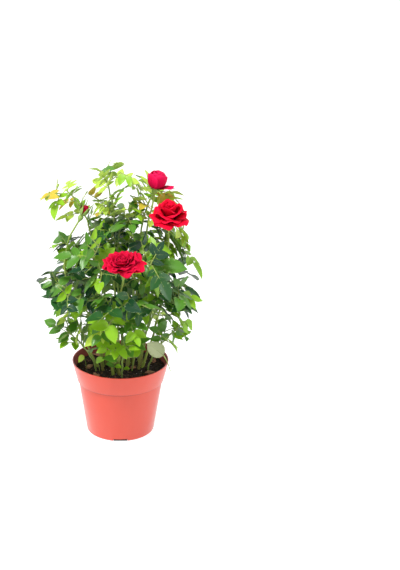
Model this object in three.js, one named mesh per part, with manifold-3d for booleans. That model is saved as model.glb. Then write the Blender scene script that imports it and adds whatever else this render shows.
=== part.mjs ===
// A miniature rose bush in its plastic pot: canes that rise from the soil, masses of compound
// leaves on them, three open blooms and a bud. Millimetres, +Z up, the origin at the middle of the
// pot's flat underside, -Y towards the viewer.
import * as THREE from "three";
import { mergeVertices } from "three/addons/utils/BufferGeometryUtils.js";
import Module from "manifold-3d";

const wasm = await Module();
wasm.setup();

// The gap that separate pieces keep where they meet.
const GAP = 0.3;

// The pot, moulded in one piece: a tapered wall, a wider band round its top and slots for drainage.
const POT = {
  height: 94,
  rimRadius: 60,
  bandHeight: 26,
  bandFootRadius: 54,
  neckRadius: 52.4,
  baseRadius: 42,
  wall: 1.4,
  floor: 2,
  slots: 4,
  slotWidth: 18,
  slotHeight: 3.2,
  slotDepth: 5,
  sides: 40,
};

// The potting soil, which fills the pot to a little under its rim.
const SOIL = { top: 84, edgeDrop: 1.6, edgeWidth: 7, sides: 40 };

// The crown's outline, an ellipsoid of revolution that only the tall shoots and the flowers leave.
const CROWN = { radius: 103, middle: 186, halfHeight: 116 };

// Shoots set out in rings from the foot of the crown to its top. lean and reach say how the stem of
// a mass lies: the angle from upright and half its length. footShare says how far out its cane
// starts, as a share of the mass's own distance from the pot's axis.
const RINGS = [
  { kind: "low", count: 5, radius: 56, height: 126, phase: 54, lean: 46, reach: 27, footShare: 0.62 },
  { kind: "middle", count: 6, radius: 60, height: 176, phase: 30, lean: 40, reach: 27, footShare: 0.42 },
  { kind: "upper", count: 5, radius: 46, height: 226, phase: 18, lean: 30, reach: 24, footShare: 0.37 },
];
const RING_LEAVES = 7;
const RING_JITTER = { turn: 9, radius: 4, height: 6 };

// Shoots with a place of their own: two that fill the middle of the crown, and the tall ones, whose
// leaves keep within TALL_SPACE of the middle of their mass.
const LONE_SHOOTS = [
  { name: "heart", kind: "middle", at: [4, 10, 168], foot: [4, 10], lean: [0.1, 0.2], reach: 24, leaves: 5 },
  { name: "centre", kind: "upper", at: [-2, -4, 252], foot: [-3, -6], lean: [0.1, 0], reach: 20, leaves: 7 },
  { name: "right", kind: "upper", at: [70, 8, 250], foot: [25, 3], lean: [0.3, -0.1], reach: 24, leaves: 7 },
  { name: "tall", kind: "tall", at: [-14, 2, 298], foot: [-7, 1], lean: [-0.2, 0], reach: 32, leaves: 7 },
  { name: "left", kind: "tall", at: [-51, 5, 284], foot: [-22, -3], lean: [-0.6, 0.1], reach: 27, leaves: 7 },
  { name: "young", kind: "tall", at: [34, 14, 288], foot: [10, 4], lean: [0.4, 0.1], reach: 20, leaves: 6 },
];
const TALL_SPACE = 50;

// Flowers: where the middle of each one is, the way it faces, its width, and how its cane runs.
// foot is on the soil; knee is the point that the cane bends towards on its way.
const FLOWERS = [
  { node: "bloom_front", middle: [1, -71, 248], facing: [-0.2, -0.32, 0.93], width: 54, form: "open",
    foot: [-9, -27], knee: [-16, -40, 190] },
  { node: "bloom_right", middle: [58, -31, 299], facing: [0.06, -0.16, 0.98], width: 51, form: "cupped",
    foot: [27, -5], knee: [62, -6, 190] },
  { node: "bloom_top", middle: [43, 0, 327], facing: [0.16, -0.05, 0.98], width: 27, form: "half_open",
    foot: [8, -5], knee: [24, 4, 236] },
  { node: "bud", middle: [-42.5, -10, 293], facing: [0.42, -0.1, 0.9], width: 12.5, form: "bud",
    foot: [-28, -3], knee: [-96, 12, 220] },
];

// Petals by flower form, from the heart outwards. base and tip are the angles from the flower's axis
// at which a petal sets out and ends, so a small tip angle closes the flower and a large one rolls
// the petal's edge outwards.
const FORMS = {
  open: { core: 0.42, coreHeight: 0.34, rings: [
    { petals: 4, length: 0.42, width: 0.24, base: 50, tip: 30 },
    { petals: 5, length: 0.5, width: 0.27, base: 78, tip: 96 }] },
  cupped: { core: 0.5, coreHeight: 0.56, rings: [
    { petals: 3, length: 0.5, width: 0.27, base: 56, tip: 18 },
    { petals: 5, length: 0.5, width: 0.27, base: 76, tip: 108 }] },
  half_open: { core: 0.86, coreHeight: 0.84, rings: [
    { petals: 1, length: 0.75, width: 0.24, base: 66, tip: 60 }] },
  bud: { core: 0.9, coreHeight: 1.5, rings: [] },
};
const PETAL_THICKNESS = 0.9;
const SEPAL = { count: 5, length: 15, width: 3.4 };
const HIP = { radius: 2.6, height: 5.5 };

// Leaves keep this far from a flower, and its cane runs straight for the length of its neck.
const FLOWER_SPACE = { around: 7, neck: 22 };

// Canes, leaf stalks and leaflets.
const CANE = { footRadius: 1.7, tipRadius: 1.15, flare: 1.5, flareShare: 0.05, sides: 5, steps: 4 };
const STEM = { footRadius: 1.25, tipRadius: 0.9, sides: 4, steps: 3 };

// A compound leaf lies flat before it is bent: a stalk with a leaflet at its tip and pairs along it.
// at is the leaflet's place on the stalk and turn its angle from it.
const LEAF = { stalk: 28, halfStalk: 0.55, thickness: 0.8, droop: 0.0036, arch: 0.006 };
const LEAFLET = { length: 29, width: 0.7, belly: 0.42, neck: 0.8 };
const LEAFLETS = [
  { at: 1, turn: 0, size: 1, swing: 4 },
  { at: 0.71, turn: 58, size: 0.86, swing: 6 },
  { at: 0.3, turn: 88, size: 0.76, swing: 9 },
];
const LEAF_SIZES = { low: 0.86, middle: 1, upper: 0.94, tall: 0.66 };
const SPRAYS = { turn: 137.5, headings: 8, tries: 5 };
const CLEARANCE = 0.7;
const SEED = 4127;

const UP = new THREE.Vector3(0, 0, 1);
const radians = THREE.MathUtils.degToRad;
const vector = (p) => new THREE.Vector3(...p);

// Repeatable random numbers between 0 and 1, one series for each shoot and spray.
function dice(series) {
  const modulus = 2147483647;
  let state = (SEED + series * 7919) % modulus;
  const next = () => {
    state = (state * 48271) % modulus;
    return state / modulus;
  };
  for (let i = 0; i < 3; i++) next();
  return { between: (low, high) => low + (high - low) * next() };
}

// Booleans need a closed mesh with shared corners.
function solidFrom(geometry) {
  const bare = geometry.clone();
  bare.deleteAttribute("normal");
  bare.deleteAttribute("uv");
  const merged = mergeVertices(bare, 1e-4);
  const mesh = new wasm.Mesh({
    numProp: 3,
    vertProperties: merged.attributes.position.array,
    triVerts: new Uint32Array(merged.index.array),
  });
  return new wasm.Manifold(mesh);
}

function geometryFrom(solid) {
  const { vertProperties, triVerts } = solid.getMesh();
  const geometry = new THREE.BufferGeometry();
  geometry.setAttribute("position", new THREE.BufferAttribute(vertProperties, 3));
  geometry.setIndex(new THREE.BufferAttribute(triVerts, 1));
  return geometry;
}

// Joins geometries into one body, without the scraps and sealed hollows that joining leaves.
function fused(geometries) {
  const bodies = wasm.Manifold.union(geometries.map(solidFrom)).decompose();
  const largest = bodies.reduce((a, b) => (b.volume() > a.volume() ? b : a));
  return geometryFrom(largest);
}

function named(name, geometry, material, place = new THREE.Vector3()) {
  const mesh = new THREE.Mesh(geometry.translate(-place.x, -place.y, -place.z), material);
  mesh.position.copy(place);
  mesh.name = name;
  return mesh;
}

const finish = (color, roughness) =>
  new THREE.MeshStandardMaterial({ color, roughness, metalness: 0 });
const FINISHES = {
  pot: finish(0xe9664f, 0.45),
  soil: finish(0x2b1a14, 0.95),
  cane: finish(0x7c9a35, 0.6),
  low: finish(0x6fae2e, 0.55),
  middle: finish(0x2f6b35, 0.45),
  upper: finish(0x3f7f3a, 0.45),
  tall: finish(0xa3b83a, 0.55),
  petals: finish(0xd80f2e, 0.6),
};

// The outer radius of the pot at a height.
function potRadius(height) {
  const bandFoot = POT.height - POT.bandHeight;
  if (height >= bandFoot) {
    return THREE.MathUtils.mapLinear(height, bandFoot, POT.height, POT.bandFootRadius, POT.rimRadius);
  }
  return THREE.MathUtils.mapLinear(height, 0, bandFoot, POT.baseRadius, POT.neckRadius);
}

function lathed(profile, sides) {
  const points = profile.map(([radius, height]) => new THREE.Vector2(radius, height));
  return new THREE.LatheGeometry(points, sides).rotateX(Math.PI / 2);
}

function pot() {
  const bandFoot = POT.height - POT.bandHeight;
  const inside = (height) => potRadius(height) - POT.wall;
  const shell = lathed([
    [0, 0],
    [POT.baseRadius - 1, 0],
    [POT.baseRadius, 1],
    [POT.neckRadius, bandFoot - 0.4],
    [POT.bandFootRadius, bandFoot],
    [POT.rimRadius, POT.height],
    [inside(POT.height), POT.height],
    [POT.bandFootRadius - POT.wall, bandFoot],
    [POT.neckRadius - POT.wall, bandFoot - 0.4],
    [POT.baseRadius - POT.wall, POT.floor],
    [0, POT.floor],
  ], POT.sides);
  let body = solidFrom(shell);
  for (let i = 0; i < POT.slots; i++) {
    const slot = new THREE.BoxGeometry(POT.slotWidth, 2 * POT.slotDepth, 2 * POT.slotHeight);
    slot.translate(0, -POT.baseRadius, 0).rotateZ((i * 2 * Math.PI) / POT.slots);
    body = body.subtract(solidFrom(slot));
  }
  return named("pot", geometryFrom(body), FINISHES.pot);
}

function soil() {
  const clear = POT.wall + GAP;
  const bandFoot = POT.height - POT.bandHeight;
  const edge = SOIL.top - SOIL.edgeDrop;
  const edgeRadius = potRadius(edge) - clear;
  const fill = lathed([
    [0, POT.floor + GAP],
    [POT.baseRadius - clear - 0.5, POT.floor + GAP],
    [POT.neckRadius - clear, bandFoot],
    [POT.bandFootRadius - clear, bandFoot + 1],
    [edgeRadius, edge],
    [edgeRadius - SOIL.edgeWidth, SOIL.top],
    [0, SOIL.top],
  ], SOIL.sides);
  return named("soil", fill, FINISHES.soil);
}

// A closed tapering limb: a cylinder bent along a curve, its foot cut flat where it stands on soil.
function limb(curve, radiusAt, sides, steps, standing) {
  const shape = new THREE.CylinderGeometry(1, 1, 1, sides, steps);
  const frames = curve.computeFrenetFrames(steps, false);
  const corners = shape.attributes.position;
  const corner = new THREE.Vector3();
  for (let i = 0; i < corners.count; i++) {
    corner.fromBufferAttribute(corners, i);
    const step = Math.round((corner.y + 0.5) * steps);
    const radius = radiusAt(step / steps);
    const [sideways, outwards] = [corner.x * radius, -corner.z * radius];
    corner.copy(curve.getPointAt(step / steps)).addScaledVector(frames.normals[step], sideways);
    corner.addScaledVector(frames.binormals[step], outwards);
    if (standing && step === 0) corner.z = SOIL.top + GAP;
    corners.setXYZ(i, corner.x, corner.y, corner.z);
  }
  return shape;
}

const taper = (foot, tip) => (share) => foot + (tip - foot) * share;

function caneRadius(share) {
  const flare = 1 + (CANE.flare - 1) * Math.max(0, 1 - share / (2 * CANE.flareShare));
  return taper(CANE.footRadius, CANE.tipRadius)(share) * flare;
}

// A limb from foot to tip that sets out towards the knee.
const bowed = (foot, knee, tip) => new THREE.QuadraticBezierCurve3(foot, knee, tip);

// Every shoot: the middle of its mass, the way it grows, and where its cane stands.
function shoots() {
  const found = [];
  RINGS.forEach((ring, tier) => {
    for (let i = 0; i < ring.count; i++) {
      const roll = dice(100 * (tier + 1) + i);
      const turn = radians(ring.phase + (360 * i) / ring.count + roll.between(-1, 1) * RING_JITTER.turn);
      const radius = ring.radius + roll.between(-1, 1) * RING_JITTER.radius;
      const height = ring.height + roll.between(-1, 1) * RING_JITTER.height;
      const outward = new THREE.Vector3(Math.cos(turn), Math.sin(turn), 0);
      const lean = radians(ring.lean);
      found.push({
        name: `${ring.kind}_${i + 1}`,
        kind: ring.kind,
        series: 100 * (tier + 1) + i,
        middle: outward.clone().multiplyScalar(radius).setZ(height),
        heading: outward.clone().multiplyScalar(Math.sin(lean)).setZ(Math.cos(lean)),
        reach: ring.reach,
        leaves: RING_LEAVES,
        foot: outward.clone().multiplyScalar(radius * ring.footShare).setZ(SOIL.top + GAP),
      });
    }
  });
  LONE_SHOOTS.forEach((shoot, i) => {
    found.push({
      ...shoot,
      series: 900 + i,
      middle: vector(shoot.at),
      heading: new THREE.Vector3(...shoot.lean, 1).normalize(),
      foot: new THREE.Vector3(...shoot.foot, SOIL.top + GAP),
    });
  });
  return found;
}

// The stem of a mass runs through the middle of its space. A low mass has no cane: its stem
// stands in the soil.
function addLimbs(shoot) {
  const { middle, heading, reach, foot } = shoot;
  const start = middle.clone().addScaledVector(heading, -reach);
  const end = middle.clone().addScaledVector(heading, reach).addScaledVector(UP, 0.12 * reach);
  shoot.hasCane = shoot.kind !== "low";
  if (shoot.hasCane) {
    const rise = start.z - foot.z;
    const knee = foot.clone().lerp(start, 0.3).setZ(foot.z + 0.62 * rise);
    shoot.cane = bowed(foot, knee, start);
    const entry = shoot.cane.getTangentAt(1);
    start.addScaledVector(entry, GAP);
    shoot.stem = bowed(start, start.clone().addScaledVector(entry, reach), end);
  } else {
    shoot.stem = bowed(foot, start, end);
  }
  return shoot;
}

// The cane of a flower runs whole from the soil to the flower's hip.
function addFlowerCane(flower) {
  const form = FORMS[flower.form];
  const axis = vector(flower.facing).normalize();
  const middle = vector(flower.middle);
  const deep = flower.width * form.coreHeight;
  const hipFoot = middle.clone().addScaledVector(axis, -deep / 2 - HIP.height);
  const foot = new THREE.Vector3(...flower.foot, SOIL.top + GAP);
  const tip = hipFoot.clone().addScaledVector(axis, -GAP);
  const neck = tip.clone().addScaledVector(axis, -FLOWER_SPACE.neck);
  const cane = new THREE.CubicBezierCurve3(foot, vector(flower.knee), neck, tip);
  return { ...flower, axis, hipFoot, space: flower.width / 2 + FLOWER_SPACE.around, at: middle, cane };
}

// Points along a limb with its radius there, close enough together to test a leaf against.
function limbPoints(curve, radiusAt, spacing) {
  const count = Math.ceil(curve.getLength() / spacing);
  return Array.from({ length: count + 1 }, (_, i) => ({
    at: curve.getPointAt(i / count),
    radius: radiusAt(i / count),
  }));
}

// Whether a point lies in a mass's own space: nearer to its middle than to any other mass's, inside
// the crown's outline, and clear of the pot, the soil and the flowers.
function inSpace(shoot, point, scene) {
  for (const other of scene.shoots) {
    if (other === shoot) continue;
    const apart = other.middle.distanceTo(shoot.middle);
    const beyond = other.middle.distanceToSquared(point) - shoot.middle.distanceToSquared(point);
    if (beyond / (2 * apart) < CLEARANCE) return false;
  }
  if (scene.flowers.some((flower) => flower.at.distanceTo(point) < flower.space)) return false;
  const out = Math.hypot(point.x, point.y);
  const overWall = out > potRadius(SOIL.top) - POT.wall - 2;
  if (out < POT.rimRadius + 2 && point.z < (overWall ? POT.height : SOIL.top) + 1.5) return false;
  if (shoot.kind === "tall") return shoot.middle.distanceTo(point) < TALL_SPACE;
  const share = Math.hypot(out / CROWN.radius, (point.z - CROWN.middle) / CROWN.halfHeight);
  return share < 1;
}

// A point of a leaf, from its place in the flat leaf: x along the stalk, y across it.
function bent(leaf, x, y, z = 0) {
  const lift = z - leaf.droop * x * Math.abs(x) - leaf.arch * y * y;
  return leaf.foot.clone()
    .addScaledVector(leaf.along, x)
    .addScaledVector(leaf.across, y)
    .addScaledVector(leaf.up, lift);
}

// The right side, tip and left side of a leaflet in the flat leaf.
function leafletOutline({ at, turn, length, width }) {
  const belly = LEAFLET.belly * length;
  const place = new THREE.Vector2(at, 0);
  return [[belly, -width / 2], [length, 0], [belly, width / 2]]
    .map(([x, y]) => new THREE.Vector2(x, y).rotateAround(new THREE.Vector2(), turn).add(place));
}

// A leaflet with the frame of the flat blade that it nearly is: its base, directions and sizes.
function leafletOn(leaf, hand, at, turn, length) {
  const leaflet = { hand, at, turn, length, width: LEAFLET.width * length };
  const points = leafletOutline(leaflet).map(({ x, y }) => bent(leaf, x, y));
  const base = bent(leaf, at, 0);
  const along = points[1].clone().sub(base).normalize();
  const up = new THREE.Vector3().crossVectors(along, points[2].clone().sub(points[0])).normalize();
  return { ...leaflet, points, base, along, up, across: new THREE.Vector3().crossVectors(up, along) };
}

// Half the width of a blade at a distance from its base.
function halfWidthAt(leaflet, along) {
  const belly = LEAFLET.belly * leaflet.length;
  const share = along < belly ? along / belly : (leaflet.length - along) / (leaflet.length - belly);
  return (leaflet.width / 2) * THREE.MathUtils.clamp(share, 0, 1);
}

// Whether a ball at a point comes within reach of a blade.
function bladeNear(leaflet, point, radius) {
  const rel = point.clone().sub(leaflet.base);
  const along = rel.dot(leaflet.along);
  return along > -radius && along < leaflet.length + radius &&
    Math.abs(rel.dot(leaflet.across)) < halfWidthAt(leaflet, along) + radius &&
    Math.abs(rel.dot(leaflet.up)) < radius + LEAF.thickness;
}

// Whether an edge of one blade runs through another blade.
function pierces(leaflet, other) {
  const outline = [leaflet.base, ...leaflet.points].map((point) => point.clone().sub(other.base));
  return outline.some((start, i) => {
    const end = outline[(i + 1) % outline.length];
    const [above, below] = [start.dot(other.up), end.dot(other.up)];
    if (above * below >= 0) return false;
    const crossing = start.clone().lerp(end, above / (above - below));
    const half = halfWidthAt(other, crossing.dot(other.along));
    return Math.abs(crossing.dot(other.across)) < half + CLEARANCE;
  });
}

function leafletFits(shoot, leaflet, scene) {
  const midrib = [LEAFLET.belly, 0.7]
    .map((share) => leaflet.base.clone().addScaledVector(leaflet.along, share * leaflet.length));
  const near = ({ at, radius }) => bladeNear(leaflet, at, radius + CLEARANCE);
  return [...leaflet.points, ...midrib].every((point) => inSpace(shoot, point, scene)) &&
    !scene.limbs.some(near) && !shoot.limbs.some(near) &&
    !shoot.leaflets.some((other) => pierces(leaflet, other) || pierces(other, leaflet));
}

function stalkPoints(leaf) {
  const count = 8;
  return Array.from({ length: count }, (_, i) => bent(leaf, ((i + 1) / count) * leaf.stalk, 0));
}

function stalkFits(shoot, leaf, scene) {
  const clear = LEAF.halfStalk + CLEARANCE;
  return stalkPoints(leaf).every((point) => inSpace(shoot, point, scene) &&
    scene.limbs.every(({ at, radius }) => point.distanceTo(at) > radius + clear) &&
    !shoot.leaflets.some((leaflet) => bladeNear(leaflet, point, clear)));
}

// A bare leaf at a point of the stem. Its upper face turns to the light, which comes from above and
// from outside the crown.
function leafAt(foot, along, size, roll) {
  const light = new THREE.Vector3(foot.x, foot.y, 0).normalize().multiplyScalar(0.8).add(UP);
  const across = new THREE.Vector3().crossVectors(light, along).normalize();
  across.applyAxisAngle(along, roll.between(-0.5, 0.5));
  return {
    foot, along, across, up: new THREE.Vector3().crossVectors(along, across), leaflets: [],
    stalk: LEAF.stalk * size,
    droop: LEAF.droop * roll.between(0.2, 1.6),
    arch: LEAF.arch * roll.between(0.2, 1.3),
  };
}

// Tries a leaf in several directions. Each of its leaflets is tried at several angles and sizes and
// left out where none fits.
function compoundLeaf(shoot, foot, tangent, turn, size, roll, scene) {
  const side = new THREE.Vector3().crossVectors(tangent, new THREE.Vector3(0.13, 0.99, 0)).normalize();
  for (let i = 0; i < SPRAYS.headings; i++) {
    const around = turn + radians(roll.between(-1, 1) * 80 * (i > 0));
    const rise = radians(roll.between(40, 80));
    const along = side.clone().applyAxisAngle(tangent, around).multiplyScalar(Math.sin(rise));
    along.addScaledVector(tangent, Math.cos(rise)).normalize();
    const leaf = leafAt(foot, along, size * (1 - 0.05 * i), roll);
    if (!stalkFits(shoot, leaf, scene)) continue;
    for (const place of LEAFLETS) {
      for (const hand of place.turn ? [-1, 1] : [0]) {
        for (let k = 0; k < SPRAYS.tries; k++) {
          const turned = radians(hand * place.turn + place.swing * roll.between(-1, 1));
          const length = LEAFLET.length * size * place.size * roll.between(0.9, 1.08) * (1 - 0.08 * k);
          const leaflet = leafletOn(leaf, hand, place.at * leaf.stalk, turned, length);
          if (!leafletFits(shoot, leaflet, scene)) continue;
          leaf.leaflets.push(leaflet);
          break;
        }
      }
    }
    if (leaf.leaflets.length > 1) {
      shoot.leaflets.push(...leaf.leaflets);
      shoot.limbs.push(...stalkPoints(leaf).map((at) => ({ at, radius: LEAF.halfStalk })));
      return leaf;
    }
  }
  return null;
}

function leavesOf(shoot, scene) {
  const from = shoot.hasCane ? 0.08 : 0.36;
  shoot.leaflets = [];
  shoot.limbs = limbPoints(shoot.stem, taper(STEM.footRadius, STEM.tipRadius), 3);
  return Array.from({ length: shoot.leaves }, (_, i) => {
    const roll = dice(shoot.series * 31 + i);
    const share = from + ((1 - from) * (i + 0.8)) / shoot.leaves;
    const size = roll.between(0.86, 1.14) * LEAF_SIZES[shoot.kind];
    const turn = radians(SPRAYS.turn * i + 40 * shoot.series);
    const [foot, tangent] = [shoot.stem.getPointAt(share), shoot.stem.getTangentAt(share)];
    return compoundLeaf(shoot, foot, tangent, turn, size, roll, scene);
  }).filter((leaf) => leaf !== null);
}

// The whole leaf as one plate: out along one edge of the stalk, round each leaflet, and back along
// the other edge to the pointed root inside the stem.
function leafShape(leaf) {
  const edge = (x, hand) => new THREE.Vector2(x, hand * LEAF.halfStalk);
  const on = (hand) => leaf.leaflets.filter((leaflet) => leaflet.hand === hand).sort((a, b) => a.at - b.at);
  const beside = (hand) => on(hand).flatMap((leaflet) => {
    const round = leafletOutline(leaflet);
    if (hand > 0) round.reverse();
    return [edge(leaflet.at - LEAFLET.neck, hand), ...round, edge(leaflet.at + LEAFLET.neck, hand)];
  });
  const outline = new THREE.Shape([
    new THREE.Vector2(), ...beside(-1), edge(leaf.stalk, -1), ...on(0).flatMap(leafletOutline),
    edge(leaf.stalk, 1), ...beside(1).reverse(),
  ]);
  const plate = new THREE.ExtrudeGeometry(outline, { depth: LEAF.thickness, bevelEnabled: false });
  const corners = plate.attributes.position;
  for (let i = 0; i < corners.count; i++) {
    const place = bent(leaf, corners.getX(i), corners.getY(i), corners.getZ(i) - LEAF.thickness / 2);
    corners.setXYZ(i, place.x, place.y, place.z);
  }
  return plate;
}

function mass(shoot, scene) {
  const radiusAt = taper(STEM.footRadius, STEM.tipRadius);
  const stem = limb(shoot.stem, radiusAt, STEM.sides, STEM.steps, !shoot.hasCane);
  const body = fused([stem, ...leavesOf(shoot, scene).map(leafShape)]);
  return named(`leaves_${shoot.name}`, body, FINISHES[shoot.kind], shoot.middle.clone());
}

// A petal in the flower's own frame, its axis along +Z: a strip that sets out at the base angle,
// bends to the tip angle, and wraps round the axis as far as its width reaches.
function petalShape({ length, width, base, tip }, turn, scale) {
  const shape = new THREE.BoxGeometry(2, 1, 1, 2, 2, 1);
  const corners = shape.attributes.position;
  for (let i = 0; i < corners.count; i++) {
    const share = corners.getY(i) + 0.5;
    const angleAt = (s) => radians(base + (tip - base) * s);
    const centre = { out: HIP.radius * 0.5, rise: 0 };
    const slices = 8;
    for (let k = 0; k < slices; k++) {
      const angle = angleAt((share * (k + 0.5)) / slices);
      centre.out += (Math.sin(angle) * share * length * scale) / slices;
      centre.rise += (Math.cos(angle) * share * length * scale) / slices;
    }
    const thick = corners.getZ(i) * PETAL_THICKNESS;
    const angle = angleAt(share);
    const radius = Math.max(centre.out + thick * Math.cos(angle), 0.4);
    const spread = Math.sin(Math.PI * (0.16 + 0.66 * share)) * width * scale;
    const around = turn + (corners.getX(i) * spread) / Math.max(centre.out, 0.22 * scale);
    const rise = centre.rise - thick * Math.sin(angle);
    corners.setXYZ(i, radius * Math.cos(around), radius * Math.sin(around), rise);
  }
  return shape;
}

function sepalShape(turn, lift) {
  const shape = new THREE.OctahedronGeometry(1);
  const corners = shape.attributes.position;
  for (let i = 0; i < corners.count; i++) {
    const along = ((corners.getY(i) + 1) / 2) * SEPAL.length;
    const across = (corners.getX(i) * SEPAL.width) / 2;
    corners.setXYZ(i, along, across, (corners.getZ(i) * PETAL_THICKNESS) / 2);
  }
  return shape.rotateY(-lift).rotateZ(turn).translate(0, 0, -0.5);
}

function bloom(flower) {
  const form = FORMS[flower.form];
  const deep = flower.width * form.coreHeight;
  const wide = (flower.width * form.core) / 2;
  const coreProfile = [
    [0, -HIP.height], [1.3, -HIP.height], [HIP.radius, -HIP.height * 0.5], [HIP.radius * 0.8, 0],
    [wide * 0.86, deep * 0.24], [wide, deep * 0.52], [wide * 0.7, deep * 0.86], [0, deep],
  ];
  const pieces = [lathed(coreProfile, 8)];
  form.rings.forEach((ring, tier) => {
    for (let i = 0; i < ring.petals; i++) {
      const turn = (2 * Math.PI * (i + 0.37 * tier)) / ring.petals + 0.4;
      pieces.push(petalShape(ring, turn, flower.width));
    }
  });
  const lift = radians(flower.form === "bud" ? 68 : -22);
  for (let i = 0; i < SEPAL.count; i++) pieces.push(sepalShape((2 * Math.PI * i) / SEPAL.count, lift));
  const mesh = named(flower.node, fused(pieces), FINISHES.petals);
  mesh.quaternion.setFromUnitVectors(UP, flower.axis);
  mesh.position.copy(flower.hipFoot).addScaledVector(flower.axis, HIP.height);
  return mesh;
}

function cane(name, curve) {
  const shape = limb(curve, caneRadius, CANE.sides, CANE.steps, true);
  return named(`cane_${name}`, shape, FINISHES.cane);
}

const scene = { shoots: shoots().map(addLimbs), flowers: FLOWERS.map(addFlowerCane) };
scene.limbs = [...scene.shoots.filter((shoot) => shoot.hasCane), ...scene.flowers]
  .flatMap(({ cane: curve }) => limbPoints(curve, caneRadius, 2));

const roseBush = new THREE.Group();
roseBush.name = "rose_bush";
roseBush.add(pot(), soil());
for (const shoot of scene.shoots) {
  if (shoot.hasCane) roseBush.add(cane(shoot.name, shoot.cane));
  roseBush.add(mass(shoot, scene));
}
for (const flower of scene.flowers) {
  roseBush.add(cane(flower.node, flower.cane), bloom(flower));
}

export default roseBush;
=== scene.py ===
"""A miniature rose bush in its salmon-red plastic pot, dressed for the picture: the pot and its soil, the
canes and their prickles, the leaves on their stalks, the three red blooms and the bud. Metres, +Z up, the
origin at the middle of the pot's underside, -Y towards the viewer. The plant is grown in millimetres."""
import math
from types import SimpleNamespace

import bmesh
import bpy
import numpy as np
from mathutils import Matrix, Vector, noise


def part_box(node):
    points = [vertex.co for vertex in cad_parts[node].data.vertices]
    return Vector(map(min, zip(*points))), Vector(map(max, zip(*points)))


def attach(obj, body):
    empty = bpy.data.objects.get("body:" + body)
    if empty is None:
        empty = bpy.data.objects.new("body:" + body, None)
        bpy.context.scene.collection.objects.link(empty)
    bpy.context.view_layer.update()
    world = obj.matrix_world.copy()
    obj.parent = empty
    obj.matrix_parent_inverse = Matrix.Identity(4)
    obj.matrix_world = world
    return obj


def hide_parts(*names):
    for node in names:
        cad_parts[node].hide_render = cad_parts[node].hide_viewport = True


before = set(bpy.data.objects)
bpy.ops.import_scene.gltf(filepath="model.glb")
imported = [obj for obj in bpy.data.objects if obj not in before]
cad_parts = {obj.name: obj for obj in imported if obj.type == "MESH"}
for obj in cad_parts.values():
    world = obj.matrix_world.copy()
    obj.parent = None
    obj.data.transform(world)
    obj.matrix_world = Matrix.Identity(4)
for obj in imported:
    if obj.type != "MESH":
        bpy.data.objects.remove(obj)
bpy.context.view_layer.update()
MM = 0.001


# The pot: one thin moulding in salmon-red plastic, a tapered wall with a wider band round its top. Four
# drainage slots are cut from the edge of its underside. Its rim and its foot are rounded by the mould.
pot_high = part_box("pot")[1]
POT_HEIGHT, POT_RIM = pot_high.z, pot_high.x
POT_WALL, POT_FLOOR = 1.4 * MM, 2 * MM
BAND_FOOT, BAND_FOOT_RADIUS, NECK_RADIUS = 68 * MM, 54 * MM, 52.4 * MM
BASE_RADIUS, FOOT_ROUNDING, STEP_ROUNDING = 42 * MM, 2.4 * MM, 0.8 * MM
SLOT_WIDTH, SLOT_HEIGHT, SLOT_DEPTH, SLOT_COUNT = 18 * MM, 3.2 * MM, 5 * MM, 4
POT_SIDES, SHADE_BELOW_RIM, SHADE_FROM_SKIN, SHARP_FROM = 144, 1.2 * MM, 0.8 * MM, math.radians(38)
SALMON, SALMON_DEEP = (0.605, 0.051, 0.020, 1), (0.55, 0.041, 0.014, 1)
# A dark line in the plastic's colour in the crease just under the band is painted shade.
PAINTED_CREASE_SHADE, CREASE_SHADE_HEIGHT, CREASE_SHADE_REACH, CREASE_SHADE_STRENGTH = (0.24, 0.02, 0.01, 1), 67.4 * MM, 1.3 * MM, 0.6
# The darker, speckled colours of the pot's inner wall are painted shade.
INSIDE_SHADE, INSIDE_SHADE_PALE = (0.20, 0.026, 0.018, 1), (0.32, 0.045, 0.03, 1)


class Wire:
    """An output of a node. Sums written with it add Math nodes, so a pattern reads as an expression."""

    def __init__(self, bench, socket):
        self.bench, self.socket = bench, socket

    def maths(operation, swapped=False):
        """An operator that joins this wire and another wire or number."""
        def joined_wires(self, other):
            first, second = (other, self) if swapped else (self, other)
            values = {"Value": first, "Value_001": second}
            return self.bench.node("ShaderNodeMath", values, operation=operation)
        return joined_wires

    __add__ = __radd__ = maths("ADD")
    __sub__, __rsub__ = maths("SUBTRACT"), maths("SUBTRACT", swapped=True)
    __mul__ = __rmul__ = maths("MULTIPLY")
    __pow__ = maths("POWER")


class Bench:
    """A node tree that is being built, for a material or for a shape."""

    def __init__(self, tree):
        self.tree = tree

    def node(self, kind, inputs=None, output=0, **settings):
        """Adds a node: its settings first, then its inputs by identifier. Returns one of its outputs."""
        made = self.tree.nodes.new(kind)
        for name, value in settings.items():
            setattr(made, name, value)
        sockets = {socket.identifier: socket for socket in made.inputs}
        for name, value in (inputs or {}).items():
            if isinstance(value, Wire):
                self.tree.links.new(value.socket, sockets[name])
            else:
                sockets[name].default_value = value
        return Wire(self, made.outputs[output]) if made.outputs else made

    def blend(self, share, first, second):
        """One colour laid over another by a share."""
        values = {"Factor_Float": share, "A_Color": first, "B_Color": second}
        return self.node("ShaderNodeMix", values, output=2, data_type="RGBA")

    def place(self):
        """Where each spot of a piece lies, in metres."""
        return self.node("ShaderNodeTexCoord", output=3)

    def height(self):
        """How high each spot of a piece lies, in metres."""
        return self.node("ShaderNodeSeparateXYZ", {"Vector": self.place()}, output=2)

    def grain(self, scale, detail=3, stretch=(1, 1, 1)):
        """Soft random spots, scale of them in a metre, drawn out or pressed along an axis."""
        placed = self.node("ShaderNodeMapping", {"Vector": self.place(), "Scale": stretch})
        return self.node("ShaderNodeTexNoise", {"Vector": placed, "Scale": scale, "Detail": detail})

    def relief(self, height, distance, strength=1.0):
        return self.node("ShaderNodeBump", {"Height": height, "Distance": distance, "Strength": strength})


def new_finish(name):
    """A bare material and the bench for its nodes."""
    made = bpy.data.materials.new(name)
    made.use_nodes = True
    made.node_tree.nodes.clear()
    return made, Bench(made.node_tree)


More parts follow.
